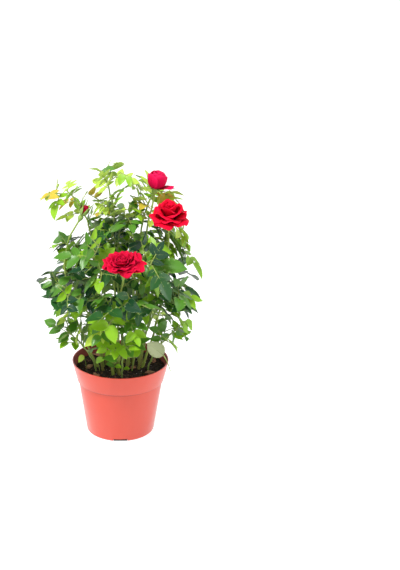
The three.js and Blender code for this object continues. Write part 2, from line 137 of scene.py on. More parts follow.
def surface(bench, inputs):
    """Ends a material in one shader with these inputs."""
    shader = bench.node("ShaderNodeBsdfPrincipled", inputs)
    bench.node("ShaderNodeOutputMaterial", {"Surface": shader})


def speckled(name, spots, colours, roughness, relief=None):
    """A finish of two colours in soft random spots, told by scale, detail and stretch. The roughness is a
    base and a share of the spots, the relief a depth. Either may add the scale and detail of other spots."""
    finish, bench = new_finish(name)
    grain = bench.grain(*spots)
    base, step, *own = roughness
    inputs = {"Base Color": bench.blend(grain, *colours)}
    inputs["Roughness"] = base + step * (bench.grain(*own) if own else grain)
    if relief:
        depth, *own = relief
        inputs["Normal"] = bench.relief(bench.grain(*own) if own else grain, depth)
    surface(bench, inputs)
    return finish


def new_mesh(name, corners, faces, edges=()):
    mesh = bpy.data.meshes.new(name)
    mesh.from_pydata(corners, edges, faces)
    return mesh


def mesh_of(shape, name):
    """A mesh from a shape that has been worked on."""
    mesh = bpy.data.meshes.new(name)
    shape.to_mesh(mesh)
    shape.free()
    return mesh


def new_piece(name, mesh, *finishes, smooth=True):
    """Puts a mesh in the scene as a piece, with its finishes, shaded smooth unless told not to be."""
    piece = bpy.data.objects.new(name, mesh)
    bpy.context.scene.collection.objects.link(piece)
    for finish in finishes:
        mesh.materials.append(finish)
    if smooth:
        mesh.shade_smooth()
    return piece


def made_plain(piece):
    """Works a piece's modifiers into its mesh and takes them off."""
    evaluated = piece.evaluated_get(bpy.context.evaluated_depsgraph_get())
    mesh = bpy.data.meshes.new_from_object(evaluated)
    piece.modifiers.clear()
    rough, piece.data = piece.data, mesh
    bpy.data.meshes.remove(rough)


def lathed(profile, sides):
    """A round shell from (radius, height) points, closed where they start and end on the axis."""
    corners, rings = [], []
    for radius, height in profile:
        ring = [len(corners)] * sides
        if radius > 0:
            ring = [len(corners) + i for i in range(sides)]
        for i in range(len(set(ring))):
            turn = 2 * math.pi * i / sides
            corners.append((radius * math.cos(turn), radius * math.sin(turn), height))
        rings.append(ring)
    faces = []
    for low, high in zip(rings, rings[1:]):
        for i in range(sides):
            j = (i + 1) % sides
            faces.append(tuple(dict.fromkeys((low[i], low[j], high[j], high[i]))))
    return new_mesh("lathed", corners, faces)


def arc(centre, radius, start, end, steps):
    """Points round a corner of a profile, from one angle to another in degrees."""
    turns = np.radians(np.linspace(start, end, steps + 1))
    return [(centre[0] + radius * math.cos(t), centre[1] + radius * math.sin(t)) for t in turns]


def pot_radius(height):
    """The outer radius of the pot at a height."""
    if height >= BAND_FOOT:
        share = (height - BAND_FOOT) / (POT_HEIGHT - BAND_FOOT)
        return BAND_FOOT_RADIUS + share * (POT_RIM - BAND_FOOT_RADIUS)
    return BASE_RADIUS + height / BAND_FOOT * (NECK_RADIUS - BASE_RADIUS)


def box_mesh(size, place, turn):
    shape = bmesh.new()
    placed = turn @ Matrix.Translation(place) @ Matrix.Diagonal((*size, 1))
    bmesh.ops.create_cube(shape, size=1, matrix=placed)
    return mesh_of(shape, "box")


wall_slope = math.degrees(math.atan2(NECK_RADIUS - BASE_RADIUS, BAND_FOOT))
band_slope = math.degrees(math.atan2(POT_RIM - BAND_FOOT_RADIUS, POT_HEIGHT - BAND_FOOT))
lip = POT_WALL / 2
foot_centre = (pot_radius(FOOT_ROUNDING) - FOOT_ROUNDING, FOOT_ROUNDING)
step_centre = (pot_radius(BAND_FOOT) - STEP_ROUNDING, BAND_FOOT + STEP_ROUNDING)
pot_profile = [
    (0, 0.6 * MM), (BASE_RADIUS - 9 * MM, 0.6 * MM), (BASE_RADIUS - 8 * MM, 0),
    *arc(foot_centre, FOOT_ROUNDING, -90, -wall_slope, 6),
    (pot_radius(BAND_FOOT / 2), BAND_FOOT / 2),
    (NECK_RADIUS - 0.5 * MM, BAND_FOOT - 3 * MM), (NECK_RADIUS - 0.9 * MM, BAND_FOOT - 1.4 * MM),
    (NECK_RADIUS - 0.8 * MM, BAND_FOOT - 0.3 * MM), (NECK_RADIUS - 0.4 * MM, BAND_FOOT),
    *arc(step_centre, STEP_ROUNDING, -90, -band_slope, 4),
    *arc((POT_RIM - lip, POT_HEIGHT - lip), lip, -band_slope, 180 - band_slope, 8),
    (BAND_FOOT_RADIUS - POT_WALL, BAND_FOOT + STEP_ROUNDING), (NECK_RADIUS - POT_WALL, BAND_FOOT - 0.6 * MM),
    (BASE_RADIUS - POT_WALL, POT_FLOOR + 1.5 * MM), (BASE_RADIUS - POT_WALL - 1.5 * MM, POT_FLOOR),
    (0, POT_FLOOR),
]
plastic, bench = new_finish("salmon_plastic")
clouds, flow = bench.grain(28, 4), bench.grain(260, 2, (1, 1, 0.12))
# Painted shade in the crease under the band: darkest at its height, gone a little above and below it.
off_crease_shade = (bench.height() - CREASE_SHADE_HEIGHT) * (1 / CREASE_SHADE_REACH)
in_painted_crease_shade = bench.node("ShaderNodeMapRange", {
    "Value": off_crease_shade * off_crease_shade, "From Max": 1.0, "To Min": CREASE_SHADE_STRENGTH, "To Max": 0.0,
})
salmon = bench.blend(clouds * 0.55 + flow * 0.3, SALMON, SALMON_DEEP)
surface(bench, {
    "Base Color": bench.blend(in_painted_crease_shade, salmon, PAINTED_CREASE_SHADE),
    "Roughness": 0.3 + 0.16 * bench.grain(90, 5),
    "Specular IOR Level": 0.45, "Coat Weight": 0.6, "Coat Roughness": 0.2,
    "Normal": bench.relief(bench.grain(900, 2) * 0.4 + flow, 0.00012, 0.5),
})
pot = new_piece("pot_moulding", lathed(pot_profile, POT_SIDES))
slot_turns = [Matrix.Rotation(2 * math.pi * i / SLOT_COUNT, 4, "Z") for i in range(SLOT_COUNT)]
slots = []
for i, turn in enumerate(slot_turns):
    size = (SLOT_WIDTH, 2 * SLOT_DEPTH, 2 * SLOT_HEIGHT)
    cutter = new_piece(f"slot_{i}", box_mesh(size, (0, -BASE_RADIUS, 0), turn))
    cut = pot.modifiers.new("slot", "BOOLEAN")
    cut.operation, cut.solver, cut.object = "DIFFERENCE", "EXACT", cutter
    slots.append(cutter)
made_plain(pot)
for cutter in slots:
    bpy.data.objects.remove(cutter)
pot.data.materials.clear()
pot.data.materials.append(plastic)
# Inside the wall, from a little under the rim down to the floor, a darker speckled finish paints the shade.
pot.data.materials.append(speckled("painted_shade_inside", (160, 4), (INSIDE_SHADE, INSIDE_SHADE_PALE), (0.6, 0.3, 90, 3)))
for face in pot.data.polygons:
    out, height = math.hypot(face.center.x, face.center.y), face.center.z
    if POT_FLOOR < height < POT_HEIGHT - SHADE_BELOW_RIM and out < pot_radius(height) - SHADE_FROM_SKIN:
        face.material_index = 1
pot.data.set_sharp_from_angle(angle=SHARP_FROM)
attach(pot, "root")
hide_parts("pot")


# The soil: moist dark peat that fills the pot to a little under its rim, lumpy on top. It is one body, made
# as a round shell whose upper side is pushed up and down.
SOIL_TOP, SOIL_EDGE_DROP, SOIL_EDGE_WIDTH, SOIL_GAP = 84 * MM, 1.6 * MM, 7 * MM, 0.3 * MM
SOIL_RINGS, SOIL_SIDES, SOIL_LUMPS = 46, 150, 1.3 * MM
PEAT, PEAT_DARK = (0.030, 0.015, 0.011, 1), (0.007, 0.0045, 0.004, 1)


def soil_height(x, y):
    """How far the soil's surface lies above or below its mean level."""
    place = Vector((x, y, 0.3)) / (9 * MM)
    return SOIL_LUMPS * (noise.fractal(place, 0.8, 2.1, 5) - 0.2)


soil_clear = POT_WALL + SOIL_GAP
soil_edge = SOIL_TOP - SOIL_EDGE_DROP
soil_edge_radius = pot_radius(soil_edge) - soil_clear
soil_profile = [
    (0, POT_FLOOR + SOIL_GAP), (BASE_RADIUS - soil_clear - 2.4 * MM, POT_FLOOR + SOIL_GAP),
    (BASE_RADIUS - soil_clear - 0.8 * MM, POT_FLOOR + 2 * MM),
    (NECK_RADIUS - soil_clear, BAND_FOOT - 2 * MM), (BAND_FOOT_RADIUS - soil_clear, BAND_FOOT + 2 * MM),
]
for i in range(SOIL_RINGS + 1):
    radius = soil_edge_radius * (1 - i / SOIL_RINGS)
    inward = min(1, (soil_edge_radius - radius) / SOIL_EDGE_WIDTH)
    soil_profile.append((radius, soil_edge + SOIL_EDGE_DROP * inward))
soil_mesh = lathed(soil_profile, SOIL_SIDES)
for corner in soil_mesh.vertices:
    if corner.co.z > soil_edge - 0.1 * MM:
        inward = soil_edge_radius - math.hypot(corner.co.x, corner.co.y)
        corner.co.z += soil_height(corner.co.x, corner.co.y) * min(1, 0.35 + inward / SOIL_EDGE_WIDTH)
peat = speckled("moist_peat", (420, 6), (PEAT_DARK, PEAT), (0.98, -0.3), (0.0012,))
soil = new_piece("soil_body", soil_mesh, peat)
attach(soil, "root")
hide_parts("soil")
# Dark peat blocks set into the drainage slots stand in for the shade deep inside them: painted shade.
PLUG_IN, PLUG_OUT, PLUG_LOW, PLUG_HIGH = 36.6 * MM, 40.9 * MM, 0.3 * MM, 3 * MM
PLUG_SET_IN, PLUG_GAP = 0.9 * MM, 1 * MM
for i, turn in enumerate(slot_turns):
    size = (SLOT_WIDTH - PLUG_GAP, PLUG_OUT - PLUG_IN, PLUG_HIGH - PLUG_LOW)
    place = (0, -(PLUG_IN + PLUG_OUT) / 2 + PLUG_SET_IN, (PLUG_HIGH + PLUG_LOW) / 2)
    plug = new_piece(f"soil_in_slot_{i}", box_mesh(size, place, turn), peat, smooth=False)
    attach(plug, "root")


# What lies loose on the soil: peat crumbs, white grit, chips of bark and short fibres. They are strewn over
# the soil's upper side by one shape tree, each kind from a small seed shape.
def shape_tree(name, inputs):
    """A tree that makes shapes, with named inputs. Returns the bench and a wire for each input."""
    tree = bpy.data.node_groups.new(name, "GeometryNodeTree")
    tree.interface.new_socket("Geometry", in_out="INPUT", socket_type="NodeSocketGeometry")
    for label, kind in inputs.items():
        tree.interface.new_socket(label, in_out="INPUT", socket_type=f"NodeSocket{kind}")
    tree.interface.new_socket("Geometry", in_out="OUTPUT", socket_type="NodeSocketGeometry")
    bench = Bench(tree)
    entry = tree.nodes.new("NodeGroupInput")
    return bench, {socket.name: Wire(bench, socket) for socket in entry.outputs if socket.name}


def shaped(piece, tree, values):
    """Runs a shape tree on a piece, with values for its named inputs, and keeps a plain mesh."""
    modifier = piece.modifiers.new("shape", "NODES")
    modifier.node_group = tree
    for item in tree.interface.items_tree:
        if item.in_out == "INPUT" and item.name in values:
            modifier[item.identifier] = values[item.name]
    made_plain(piece)


def ended(bench, shape, finish):
    """Ends a shape tree in one plain mesh of one finish. Returns the tree."""
    real = bench.node("GeometryNodeRealizeInstances", {"Geometry": shape})
    real = bench.node("GeometryNodeSetMaterial", {"Geometry": real, "Material": finish})
    outlet = next(item for item in bench.tree.interface.items_tree if item.in_out == "OUTPUT")
    bench.node("NodeGroupOutput", {outlet.identifier: real})
    return bench.tree


bench, given = shape_tree("strew", {
    "Shape": "Object", "Density": "Float", "Seed": "Int", "Smallest": "Float", "Largest": "Float",
    "Tumble": "Float", "Finish": "Material",
})
strewn = bench.node("GeometryNodeDistributePointsOnFaces", {
    "Mesh": given["Geometry"], "Density": given["Density"], "Seed": given["Seed"],
})
standing = Wire(bench, strewn.socket.node.outputs["Rotation"])
shape = bench.node("GeometryNodeObjectInfo", {"Object": given["Shape"]}, output=4)
size = bench.node("FunctionNodeRandomValue", {
    "Min_001": given["Smallest"], "Max_001": given["Largest"], "Seed": given["Seed"],
}, output=1, data_type="FLOAT")
spin = bench.node("FunctionNodeRandomValue", {
    "Min": (-1, -1, -math.pi), "Max": (1, 1, math.pi), "Seed": given["Seed"] + 7,
}, data_type="FLOAT_VECTOR")
tilted = bench.node("ShaderNodeCombineXYZ", {"X": given["Tumble"], "Y": given["Tumble"], "Z": 1.0})
spin = bench.node("ShaderNodeVectorMath", {"Vector": spin, "Vector_001": tilted}, operation="MULTIPLY")
spin = bench.node("FunctionNodeEulerToRotation", {"Euler": spin})
lying = bench.node("FunctionNodeRotateRotation", {"Rotation": standing, "Rotate By": spin},
                   rotation_space="LOCAL")
copies = bench.node("GeometryNodeInstanceOnPoints", {
    "Points": strewn, "Instance": shape, "Rotation": lying, "Scale": size,
})
strew_tree = ended(bench, copies, given["Finish"])


def strewn_over(name, ground, seed_shape, finish, density, seed, smallest, largest, tumble):
    """Strews copies of a seed shape over a surface, as one mesh."""
    piece = new_piece(name, ground.copy())
    shaped(piece, strew_tree, {
        "Shape": seed_shape, "Finish": finish, "Density": density, "Seed": seed,
        "Smallest": smallest, "Largest": largest, "Tumble": tumble,
    })
    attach(piece, "root")
    return piece


def lump(name, length, width, height, roughness, seed):
    """A rough pebble of twenty faces, one unit across before it is stretched."""
    shape = bmesh.new()
    bmesh.ops.create_icosphere(shape, subdivisions=1, radius=0.5)
    for corner in shape.verts:
        corner.co *= 1 + roughness * noise.noise(corner.co * 3 + Vector((seed, 0, 0)))
        corner.co = Vector((corner.co.x * length, corner.co.y * width, corner.co.z * height))
    return new_piece(name, mesh_of(shape, name), smooth=False)


LEVEL_ENOUGH = 0.3


def top_of(mesh, floor, reach):
    """A copy of a mesh's faces that look up from above a height, within a distance of the axis."""
    shape = bmesh.new()
    shape.from_mesh(mesh)
    spare = []
    for face in shape.faces:
        middle = face.calc_center_median()
        if face.normal.z < LEVEL_ENOUGH or middle.z < floor or middle.xy.length > reach:
            spare.append(face)
    bmesh.ops.delete(shape, geom=spare, context="FACES")
    return mesh_of(shape, "top")


# Each kind is its name, the length, width and height of its seed shape, its two colours, how many lie on a
# square metre, the smallest and the largest, how far it tumbles in radians, and how rough its outline is.
LOOSE = [
    ("peat_crumbs", (1, 0.8, 0.7), ((0.012, 0.007, 0.006, 1), (0.052, 0.026, 0.017, 1)),
     420000, 0.7 * MM, 2.4 * MM, 3.0, 1.2),
    ("white_grit", (1, 0.9, 0.8), ((0.55, 0.5, 0.46, 1), (0.85, 0.82, 0.78, 1)),
     9000, 0.8 * MM, 2.3 * MM, 3.0, 0.8),
    ("bark_chips", (1, 0.5, 0.2), ((0.09, 0.035, 0.018, 1), (0.26, 0.115, 0.06, 1)),
     11000, 2.5 * MM, 7 * MM, 0.5, 0.9),
    ("peat_fibres", (1, 0.05, 0.04), ((0.12, 0.06, 0.03, 1), (0.34, 0.2, 0.1, 1)),
     17000, 4 * MM, 13 * MM, 0.35, 0.9),
]
LOOSE_SEED, LOOSE_DEPTH = 11, 2 * MM
for number, (name, sizes, colours, density, smallest, largest, tumble, roughness) in enumerate(LOOSE):
    loose = speckled(name, (650, 3), colours, (0.95, -0.2), (0.0003, 1500, 2))
    seed_shape = lump("seed_shape", *sizes, roughness, number + 3.7)
    ground = top_of(soil_mesh, soil_edge - LOOSE_DEPTH, soil_edge_radius - 0.6 * largest)
    strewn_piece = strewn_over(name, ground, seed_shape, loose, density, LOOSE_SEED + number,
                               smallest, largest, tumble)
    bpy.data.objects.remove(seed_shape)


# A few larger pieces of tan bark that lie half sunk in the soil. Each is its place on the soil, its length,
# width and thickness in millimetres, and its turn in degrees.
LARGE_BARK = [
    (-22, 33, 19, 10, 4, 15), (-39, -4, 12, 6, 3, 70), (16, -8, 8, 5, 3, 40), (-30, -30, 10, 6, 3, -35),
    (36, -22, 11, 6, 3, 20), (12, 38, 13, 7, 3, -60), (41, 15, 12, 6, 3, 85), (-6, -43, 8, 5, 2.5, 10),
]
BARK_RISE, BARK_TILT, BARK_ROUGHNESS = 1.2 * MM, 0.12, 0.8
BARK_BROWN, BARK_TAN = (0.13, 0.045, 0.022, 1), (0.60, 0.32, 0.19, 1)


def joined(name, meshes):
    """Several meshes as one."""
    shape = bmesh.new()
    for mesh in meshes:
        shape.from_mesh(mesh)
        bpy.data.meshes.remove(mesh)
    return mesh_of(shape, name)


chips = []
for number, (x, y, *size, turn) in enumerate(LARGE_BARK):
    shape = bmesh.new()
    bmesh.ops.create_icosphere(shape, subdivisions=3, radius=0.5)
    for corner in shape.verts:
        rough = 1 + BARK_ROUGHNESS * noise.fractal(corner.co * 3 + Vector((number, 0, 0)), 0.7, 2.3, 5)
        corner.co = Vector([c * rough * s * MM for c, s in zip(corner.co, size)])
    lying = Matrix.Translation((x * MM, y * MM, SOIL_TOP + BARK_RISE))
    shape.transform(lying @ Matrix.Rotation(math.radians(turn), 4, "Z") @ Matrix.Rotation(BARK_TILT, 4, "Y"))
    chips.append(mesh_of(shape, "chip"))
tan_bark = speckled("tan_bark", (300, 5, (0.3, 1, 1)), (BARK_BROWN, BARK_TAN), (0.95, -0.2), (0.0008,))
large_bark = new_piece("large_bark", joined("large_bark", chips), tan_bark)
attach(large_bark, "root")


# The plant's plan: shoots set out in rings round the pot's axis and a few with a place of their own, and the
# flowers. Each shoot has a mass of leaves round a stem, and a cane that carries it. These are the sizes that
# the plant grew by, in millimetres and degrees, and everything on it follows from them.
GAP, SEED, CLEARANCE = 0.3, 4127, 0.7
SOIL_LEVEL, RIM_RADIUS, RIM_HEIGHT = SOIL_TOP / MM, POT_RIM / MM, POT_HEIGHT / MM
CROWN = SimpleNamespace(radius=103, middle=186, half_height=116)
RINGS = [
    {"kind": "low", "count": 5, "radius": 56, "height": 126, "phase": 54, "lean": 46, "reach": 27,
     "foot_share": 0.62},
    {"kind": "middle", "count": 6, "radius": 60, "height": 176, "phase": 30, "lean": 40, "reach": 27,
     "foot_share": 0.42},
    {"kind": "upper", "count": 5, "radius": 46, "height": 226, "phase": 18, "lean": 30, "reach": 24,
     "foot_share": 0.37},
]
RING_LEAVES, RING_JITTER = 7, {"turn": 9, "radius": 4, "height": 6}
LONE_SHOOTS = [
    {"kind": "middle", "at": (4, 10, 168), "foot": (4, 10), "lean": (0.1, 0.2), "reach": 24, "leaves": 5},
    {"kind": "upper", "at": (-2, -4, 252), "foot": (-3, -6), "lean": (0.1, 0), "reach": 20, "leaves": 7},
    {"kind": "upper", "at": (70, 8, 250), "foot": (25, 3), "lean": (0.3, -0.1), "reach": 24, "leaves": 7,
     "mood": "bright"},
    {"kind": "tall", "at": (-14, 2, 298), "foot": (-7, 1), "lean": (-0.2, 0), "reach": 32, "leaves": 7},
    {"kind": "tall", "at": (-51, 5, 284), "foot": (-22, -3), "lean": (-0.6, 0.1), "reach": 27, "leaves": 7},
    {"kind": "tall", "at": (34, 14, 288), "foot": (10, 4), "lean": (0.4, 0.1), "reach": 20, "leaves": 6},
]
TALL_SPACE, KNEE_OUT, KNEE_UP, TIP_RISE = 50, 0.3, 0.62, 0.12
FLOWERS = [
    {"node": "bloom_front", "middle": (1, -71, 248), "facing": (-0.2, -0.32, 0.93),
     "width": 54, "depth": 0.34, "foot": (-9, -27), "knee": (-16, -40, 190)},
    {"node": "bloom_right", "middle": (58, -31, 299), "facing": (0.06, -0.16, 0.98),
     "width": 51, "depth": 0.56, "foot": (27, -5), "knee": (62, -6, 190)},
    {"node": "bloom_top", "middle": (43, 0, 327), "facing": (0.16, -0.05, 0.98),
     "width": 27, "depth": 0.84, "foot": (8, -5), "knee": (24, 4, 236)},
    {"node": "bud", "middle": (-42.5, -10, 293), "facing": (0.42, -0.1, 0.9),
     "width": 12.5, "depth": 1.5, "foot": (-28, -3), "knee": (-96, 12, 220)},
]
HIP_HEIGHT, FLOWER_SPACE, FLOWER_NECK = 5.5, 7, 22
CANE = {"foot": 1.7, "tip": 1.15, "flare": 1.5, "flare_share": 0.05}
STEM = {"foot": 1.25, "tip": 0.9}
UP, ASIDE = np.array((0.0, 0.0, 1.0)), (0.13, 0.99, 0)


class Dice:
    """Repeatable random numbers. Every shoot, twig, leaf, petal and sepal has a series of its own."""

    MODULUS, FACTOR, STRIDE = 2147483647, 48271, 7919

    def __init__(self, series):
        self.state = (SEED + series * self.STRIDE) % self.MODULUS
        for _ in range(3):
            self.between(0, 1)

    def between(self, low, high):
        self.state = self.state * self.FACTOR % self.MODULUS
        return low + (high - low) * self.state / self.MODULUS


class Limb:
    """A Bezier curve that is marked off by its length, from 0 at its foot to 1 at its tip."""

    def __init__(self, *anchors):
        self.anchors = np.array(anchors, float)
        self.marks = np.linspace(0, 1, 201)
        steps = np.linalg.norm(np.diff(self.bezier(self.marks), axis=0), axis=1)
        self.lengths = np.concatenate(([0], np.cumsum(steps)))
        self.length = self.lengths[-1]

    def bezier(self, marks):
        degree = len(self.anchors) - 1
        terms = [math.comb(degree, i) * marks**i * (1 - marks) ** (degree - i) for i in range(degree + 1)]
        return sum(term[..., None] * anchor for term, anchor in zip(terms, self.anchors))

    def marks_at(self, shares):
        return np.interp(np.asarray(shares) * self.length, self.lengths, self.marks)

    def at(self, shares):
        return self.bezier(self.marks_at(shares))

    def heading(self, shares):
        marks = self.marks_at(shares)
        ahead = self.bezier(np.minimum(marks + 1e-4, 1)) - self.bezier(np.maximum(marks - 1e-4, 0))
        return ahead / np.linalg.norm(ahead, axis=-1, keepdims=True)

    def points(self, spacing):
        """Shares and places along the limb, close enough together to test a leaf against."""
        shares = np.linspace(0, 1, math.ceil(self.length / spacing) + 1)
        return shares, self.at(shares)


def unit(direction):
    return direction / np.linalg.norm(direction)


def turned(direction, axis, angle):
    """A direction turned about an axis."""
    return (direction * math.cos(angle) + np.cross(axis, direction) * math.sin(angle)
            + axis * (axis @ direction) * (1 - math.cos(angle)))


def tapered(foot, tip):
    return lambda shares: foot + (tip - foot) * np.asarray(shares)


def cane_radius(shares):
    shares = np.asarray(shares)
    flare = 1 + (CANE["flare"] - 1) * np.maximum(0, 1 - shares / (2 * CANE["flare_share"]))
    return tapered(CANE["foot"], CANE["tip"])(shares) * flare


def planned_shoots():
    """Every shoot: the middle of its mass, the way it grows, and where its cane stands."""
    found = []
    for tier, ring in enumerate(RINGS):
        for i in range(ring["count"]):
            series = 100 * (tier + 1) + i
            roll = Dice(series)
            turn = ring["phase"] + 360 * i / ring["count"] + roll.between(-1, 1) * RING_JITTER["turn"]
            radius = ring["radius"] + roll.between(-1, 1) * RING_JITTER["radius"]
            height = ring["height"] + roll.between(-1, 1) * RING_JITTER["height"]
            outward = np.array((math.cos(math.radians(turn)), math.sin(math.radians(turn)), 0))
            lean = math.radians(ring["lean"])
            found.append(SimpleNamespace(
                kind=ring["kind"], mood=ring["kind"], series=series, reach=ring["reach"], leaves=RING_LEAVES,
                middle=outward * radius + UP * height,
                heading=outward * math.sin(lean) + UP * math.cos(lean),
                foot=outward * radius * ring["foot_share"] + UP * (SOIL_LEVEL + GAP),
            ))
    for i, shoot in enumerate(LONE_SHOOTS):
        found.append(SimpleNamespace(
            kind=shoot["kind"], mood=shoot.get("mood", shoot["kind"]), series=900 + i,
            reach=shoot["reach"], leaves=shoot["leaves"],
            middle=np.array(shoot["at"], float), heading=unit(np.array((*shoot["lean"], 1.0))),
            foot=np.array((*shoot["foot"], SOIL_LEVEL + GAP)),
        ))
    return found


def add_limbs(shoot):
    """The stem of a mass runs through the middle of its space. A low mass's stem stands in the soil."""
    start = shoot.middle - shoot.heading * shoot.reach
    end = shoot.middle + shoot.heading * shoot.reach + UP * TIP_RISE * shoot.reach
    shoot.cane = None
    if shoot.kind == "low":
        shoot.stem = Limb(shoot.foot, start, end)
        return
    knee = shoot.foot + (start - shoot.foot) * KNEE_OUT
    knee[2] = shoot.foot[2] + KNEE_UP * (start[2] - shoot.foot[2])
    shoot.cane = Limb(shoot.foot, knee, start)
    entry = shoot.cane.heading(1.0)
    start = start + entry * GAP
    shoot.stem = Limb(start, start + entry * shoot.reach, end)


def planned_flower(flower):
    """A flower's place and way, and its cane, which runs whole from the soil to the hip."""
    axis = unit(np.array(flower["facing"], float))
    middle = np.array(flower["middle"], float)
    hip_foot = middle - axis * (flower["width"] * flower["depth"] / 2 + HIP_HEIGHT)
    foot = np.array((*flower["foot"], SOIL_LEVEL + GAP))
    tip = hip_foot - axis * GAP
    cane = Limb(foot, flower["knee"], tip - axis * FLOWER_NECK, tip)
    return SimpleNamespace(
        node=flower["node"], axis=axis, middle=middle, hip_foot=hip_foot,
        space=flower["width"] / 2 + FLOWER_SPACE, cane=cane,
    )


shoots, flowers = planned_shoots(), [planned_flower(flower) for flower in FLOWERS]
for shoot in shoots:
    add_limbs(shoot)


# The canes: smooth green bark, browner near the soil, with a swelling and a slight bend at each bud and a
# flare where they leave the soil. Flower canes are younger and lighter. All are drawn by one shape tree.
CANE_MARK_SPACING, BUD_SPACING, BUD_SWELLING, BUD_BEND = 1.6, 17, 0.22, 0.5
BUD_LENGTH, BUD_REACH, END_REACH, LAST_BUD, FIRST_BUD, BUD_STEP = 1.5, 0.4, 8, 4, (0.5, 0.9), (0.8, 1.2)
CANE_SIDES, BARK_RELIEF, BARK_SCALE, BARK_INSET = 12, 0.09 * MM, 420.0, 0.86
CANE_SERIES, FLOWER_CANE_SERIES, FLOWER_BUD_SPACING = 4000, 4900, 1.3 * BUD_SPACING

bench, given = shape_tree("limbs", {
    "Sides": "Int", "Relief": "Float", "Grain": "Float", "Finish": "Material",
})
line = bench.node("GeometryNodeMeshToCurve", {"Mesh": given["Geometry"]})
outline = bench.node("GeometryNodeCurvePrimitiveCircle", {"Resolution": given["Sides"], "Radius": 1.0})
thickness = bench.node("GeometryNodeInputNamedAttribute", {"Name": "thickness"}, data_type="FLOAT")
bark = bench.node("GeometryNodeCurveToMesh", {
    "Curve": line, "Profile Curve": outline, "Scale": thickness, "Fill Caps": True,
})
where = bench.node("GeometryNodeInputPosition")
stretched = bench.node("ShaderNodeVectorMath", {"Vector": where, "Vector_001": (1, 1, 0.3)},
                       operation="MULTIPLY")
bumps = bench.node("ShaderNodeTexNoise", {"Vector": stretched, "Scale": given["Grain"], "Detail": 3.0})
outward = bench.node("GeometryNodeInputNormal")
push = bench.node("ShaderNodeVectorMath", {"Vector": outward, "Scale": (bumps - 0.5) * given["Relief"]},
                  operation="SCALE")
bark = bench.node("GeometryNodeSetPosition", {"Geometry": bark, "Offset": push})
bark = bench.node("GeometryNodeSetShadeSmooth", {"Geometry": bark})
limb_tree = ended(bench, bark, given["Finish"])


def limbs_piece(name, limbs, sides, relief, grain, finish):
    """Draws limbs as one mesh. Each limb is its places, in millimetres, and its radius at each of them."""
    places = np.concatenate([places for places, _ in limbs]) * MM
    starts = np.cumsum([0] + [len(places) for places, _ in limbs])
    lines = [np.column_stack((np.arange(low, high - 1), np.arange(low + 1, high)))
             for low, high in zip(starts, starts[1:])]
    mesh = new_mesh(name, places, [], np.concatenate(lines))
    thickness = mesh.attributes.new("thickness", "FLOAT", "POINT")
    thickness.data.foreach_set("value", np.concatenate([radii for _, radii in limbs]) * MM)
    piece = new_piece(name, mesh)
    shaped(piece, limb_tree, {"Sides": sides, "Relief": relief, "Grain": grain, "Finish": finish})
    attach(piece, "root")
    return piece


def with_buds(limb, radius_at, spacing, series):
    """A limb's places and radii, with a swelling and a small bend at each bud on it."""
    roll = Dice(series)
    shares, places = limb.points(CANE_MARK_SPACING)
    radii = radius_at(shares)
    along = shares * limb.length
    side = np.cross(limb.heading(shares), ASIDE)
    bend = np.zeros_like(along)
    bud, hand = spacing * roll.between(*FIRST_BUD), 1
    while bud < limb.length - LAST_BUD:
        radii = radii * (1 + BUD_SWELLING * np.exp(-(((along - bud) / BUD_LENGTH) ** 2)))
        bend += hand * BUD_BEND * np.exp(-(((along - bud) / (BUD_REACH * spacing)) ** 2))
        bud, hand = bud + spacing * roll.between(*BUD_STEP), -hand
    ends = np.minimum(1, np.minimum(along, limb.length - along) / END_REACH)
    return places + side * (bend * ends)[:, None], radii * BARK_INSET


def bark_finish(name, low_colour, high_colour, brown_height, green_height):
    """Bark that goes from one colour near the soil to another above, with darker flecks."""
    finish, bench = new_finish(name)
    rise = bench.node("ShaderNodeMapRange", {
        "Value": bench.height(), "From Min": brown_height * MM, "From Max": green_height * MM,
    })
    streaks = bench.grain(700, 4, (1, 1, 0.15))
    fleck = tuple(0.45 * channel for channel in low_colour[:3]) + (1,)
    tone = bench.blend(rise, low_colour, high_colour)
    surface(bench, {
        "Base Color": bench.blend((1 - streaks) * 0.7 - 0.12, tone, fleck),
        "Roughness": 0.42 + 0.3 * streaks,
        "Normal": bench.relief(streaks, 0.0002, 0.7),
    })
    return finish


old_bark = bark_finish("old_cane_bark", (0.23, 0.21, 0.045, 1), (0.20, 0.33, 0.05, 1), 84, 115)
young_bark = bark_finish("young_cane_bark", (0.26, 0.34, 0.05, 1), (0.36, 0.5, 0.09, 1), 84, 260)
cane_shoots = [shoot for shoot in shoots if shoot.cane]
old, young = ([with_buds(shoot.cane, cane_radius, BUD_SPACING, CANE_SERIES + shoot.series)
               for shoot in cane_shoots if (shoot.kind == "tall") == is_young] for is_young in (False, True))
young += [with_buds(flower.cane, cane_radius, FLOWER_BUD_SPACING, FLOWER_CANE_SERIES + i)
          for i, flower in enumerate(flowers)]
old_canes = limbs_piece("old_canes", old, CANE_SIDES, BARK_RELIEF, BARK_SCALE, old_bark)
young_canes = limbs_piece("young_canes", young, CANE_SIDES, BARK_RELIEF, BARK_SCALE, young_bark)
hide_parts(*(f"cane_{name}" for name in (
    *(f"middle_{i + 1}" for i in range(6)), *(f"upper_{i + 1}" for i in range(5)),
    "heart", "centre", "right")))
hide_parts(*(f"cane_{name}" for name in (
    "tall", "left", "young", "bloom_front", "bloom_right", "bloom_top", "bud")))


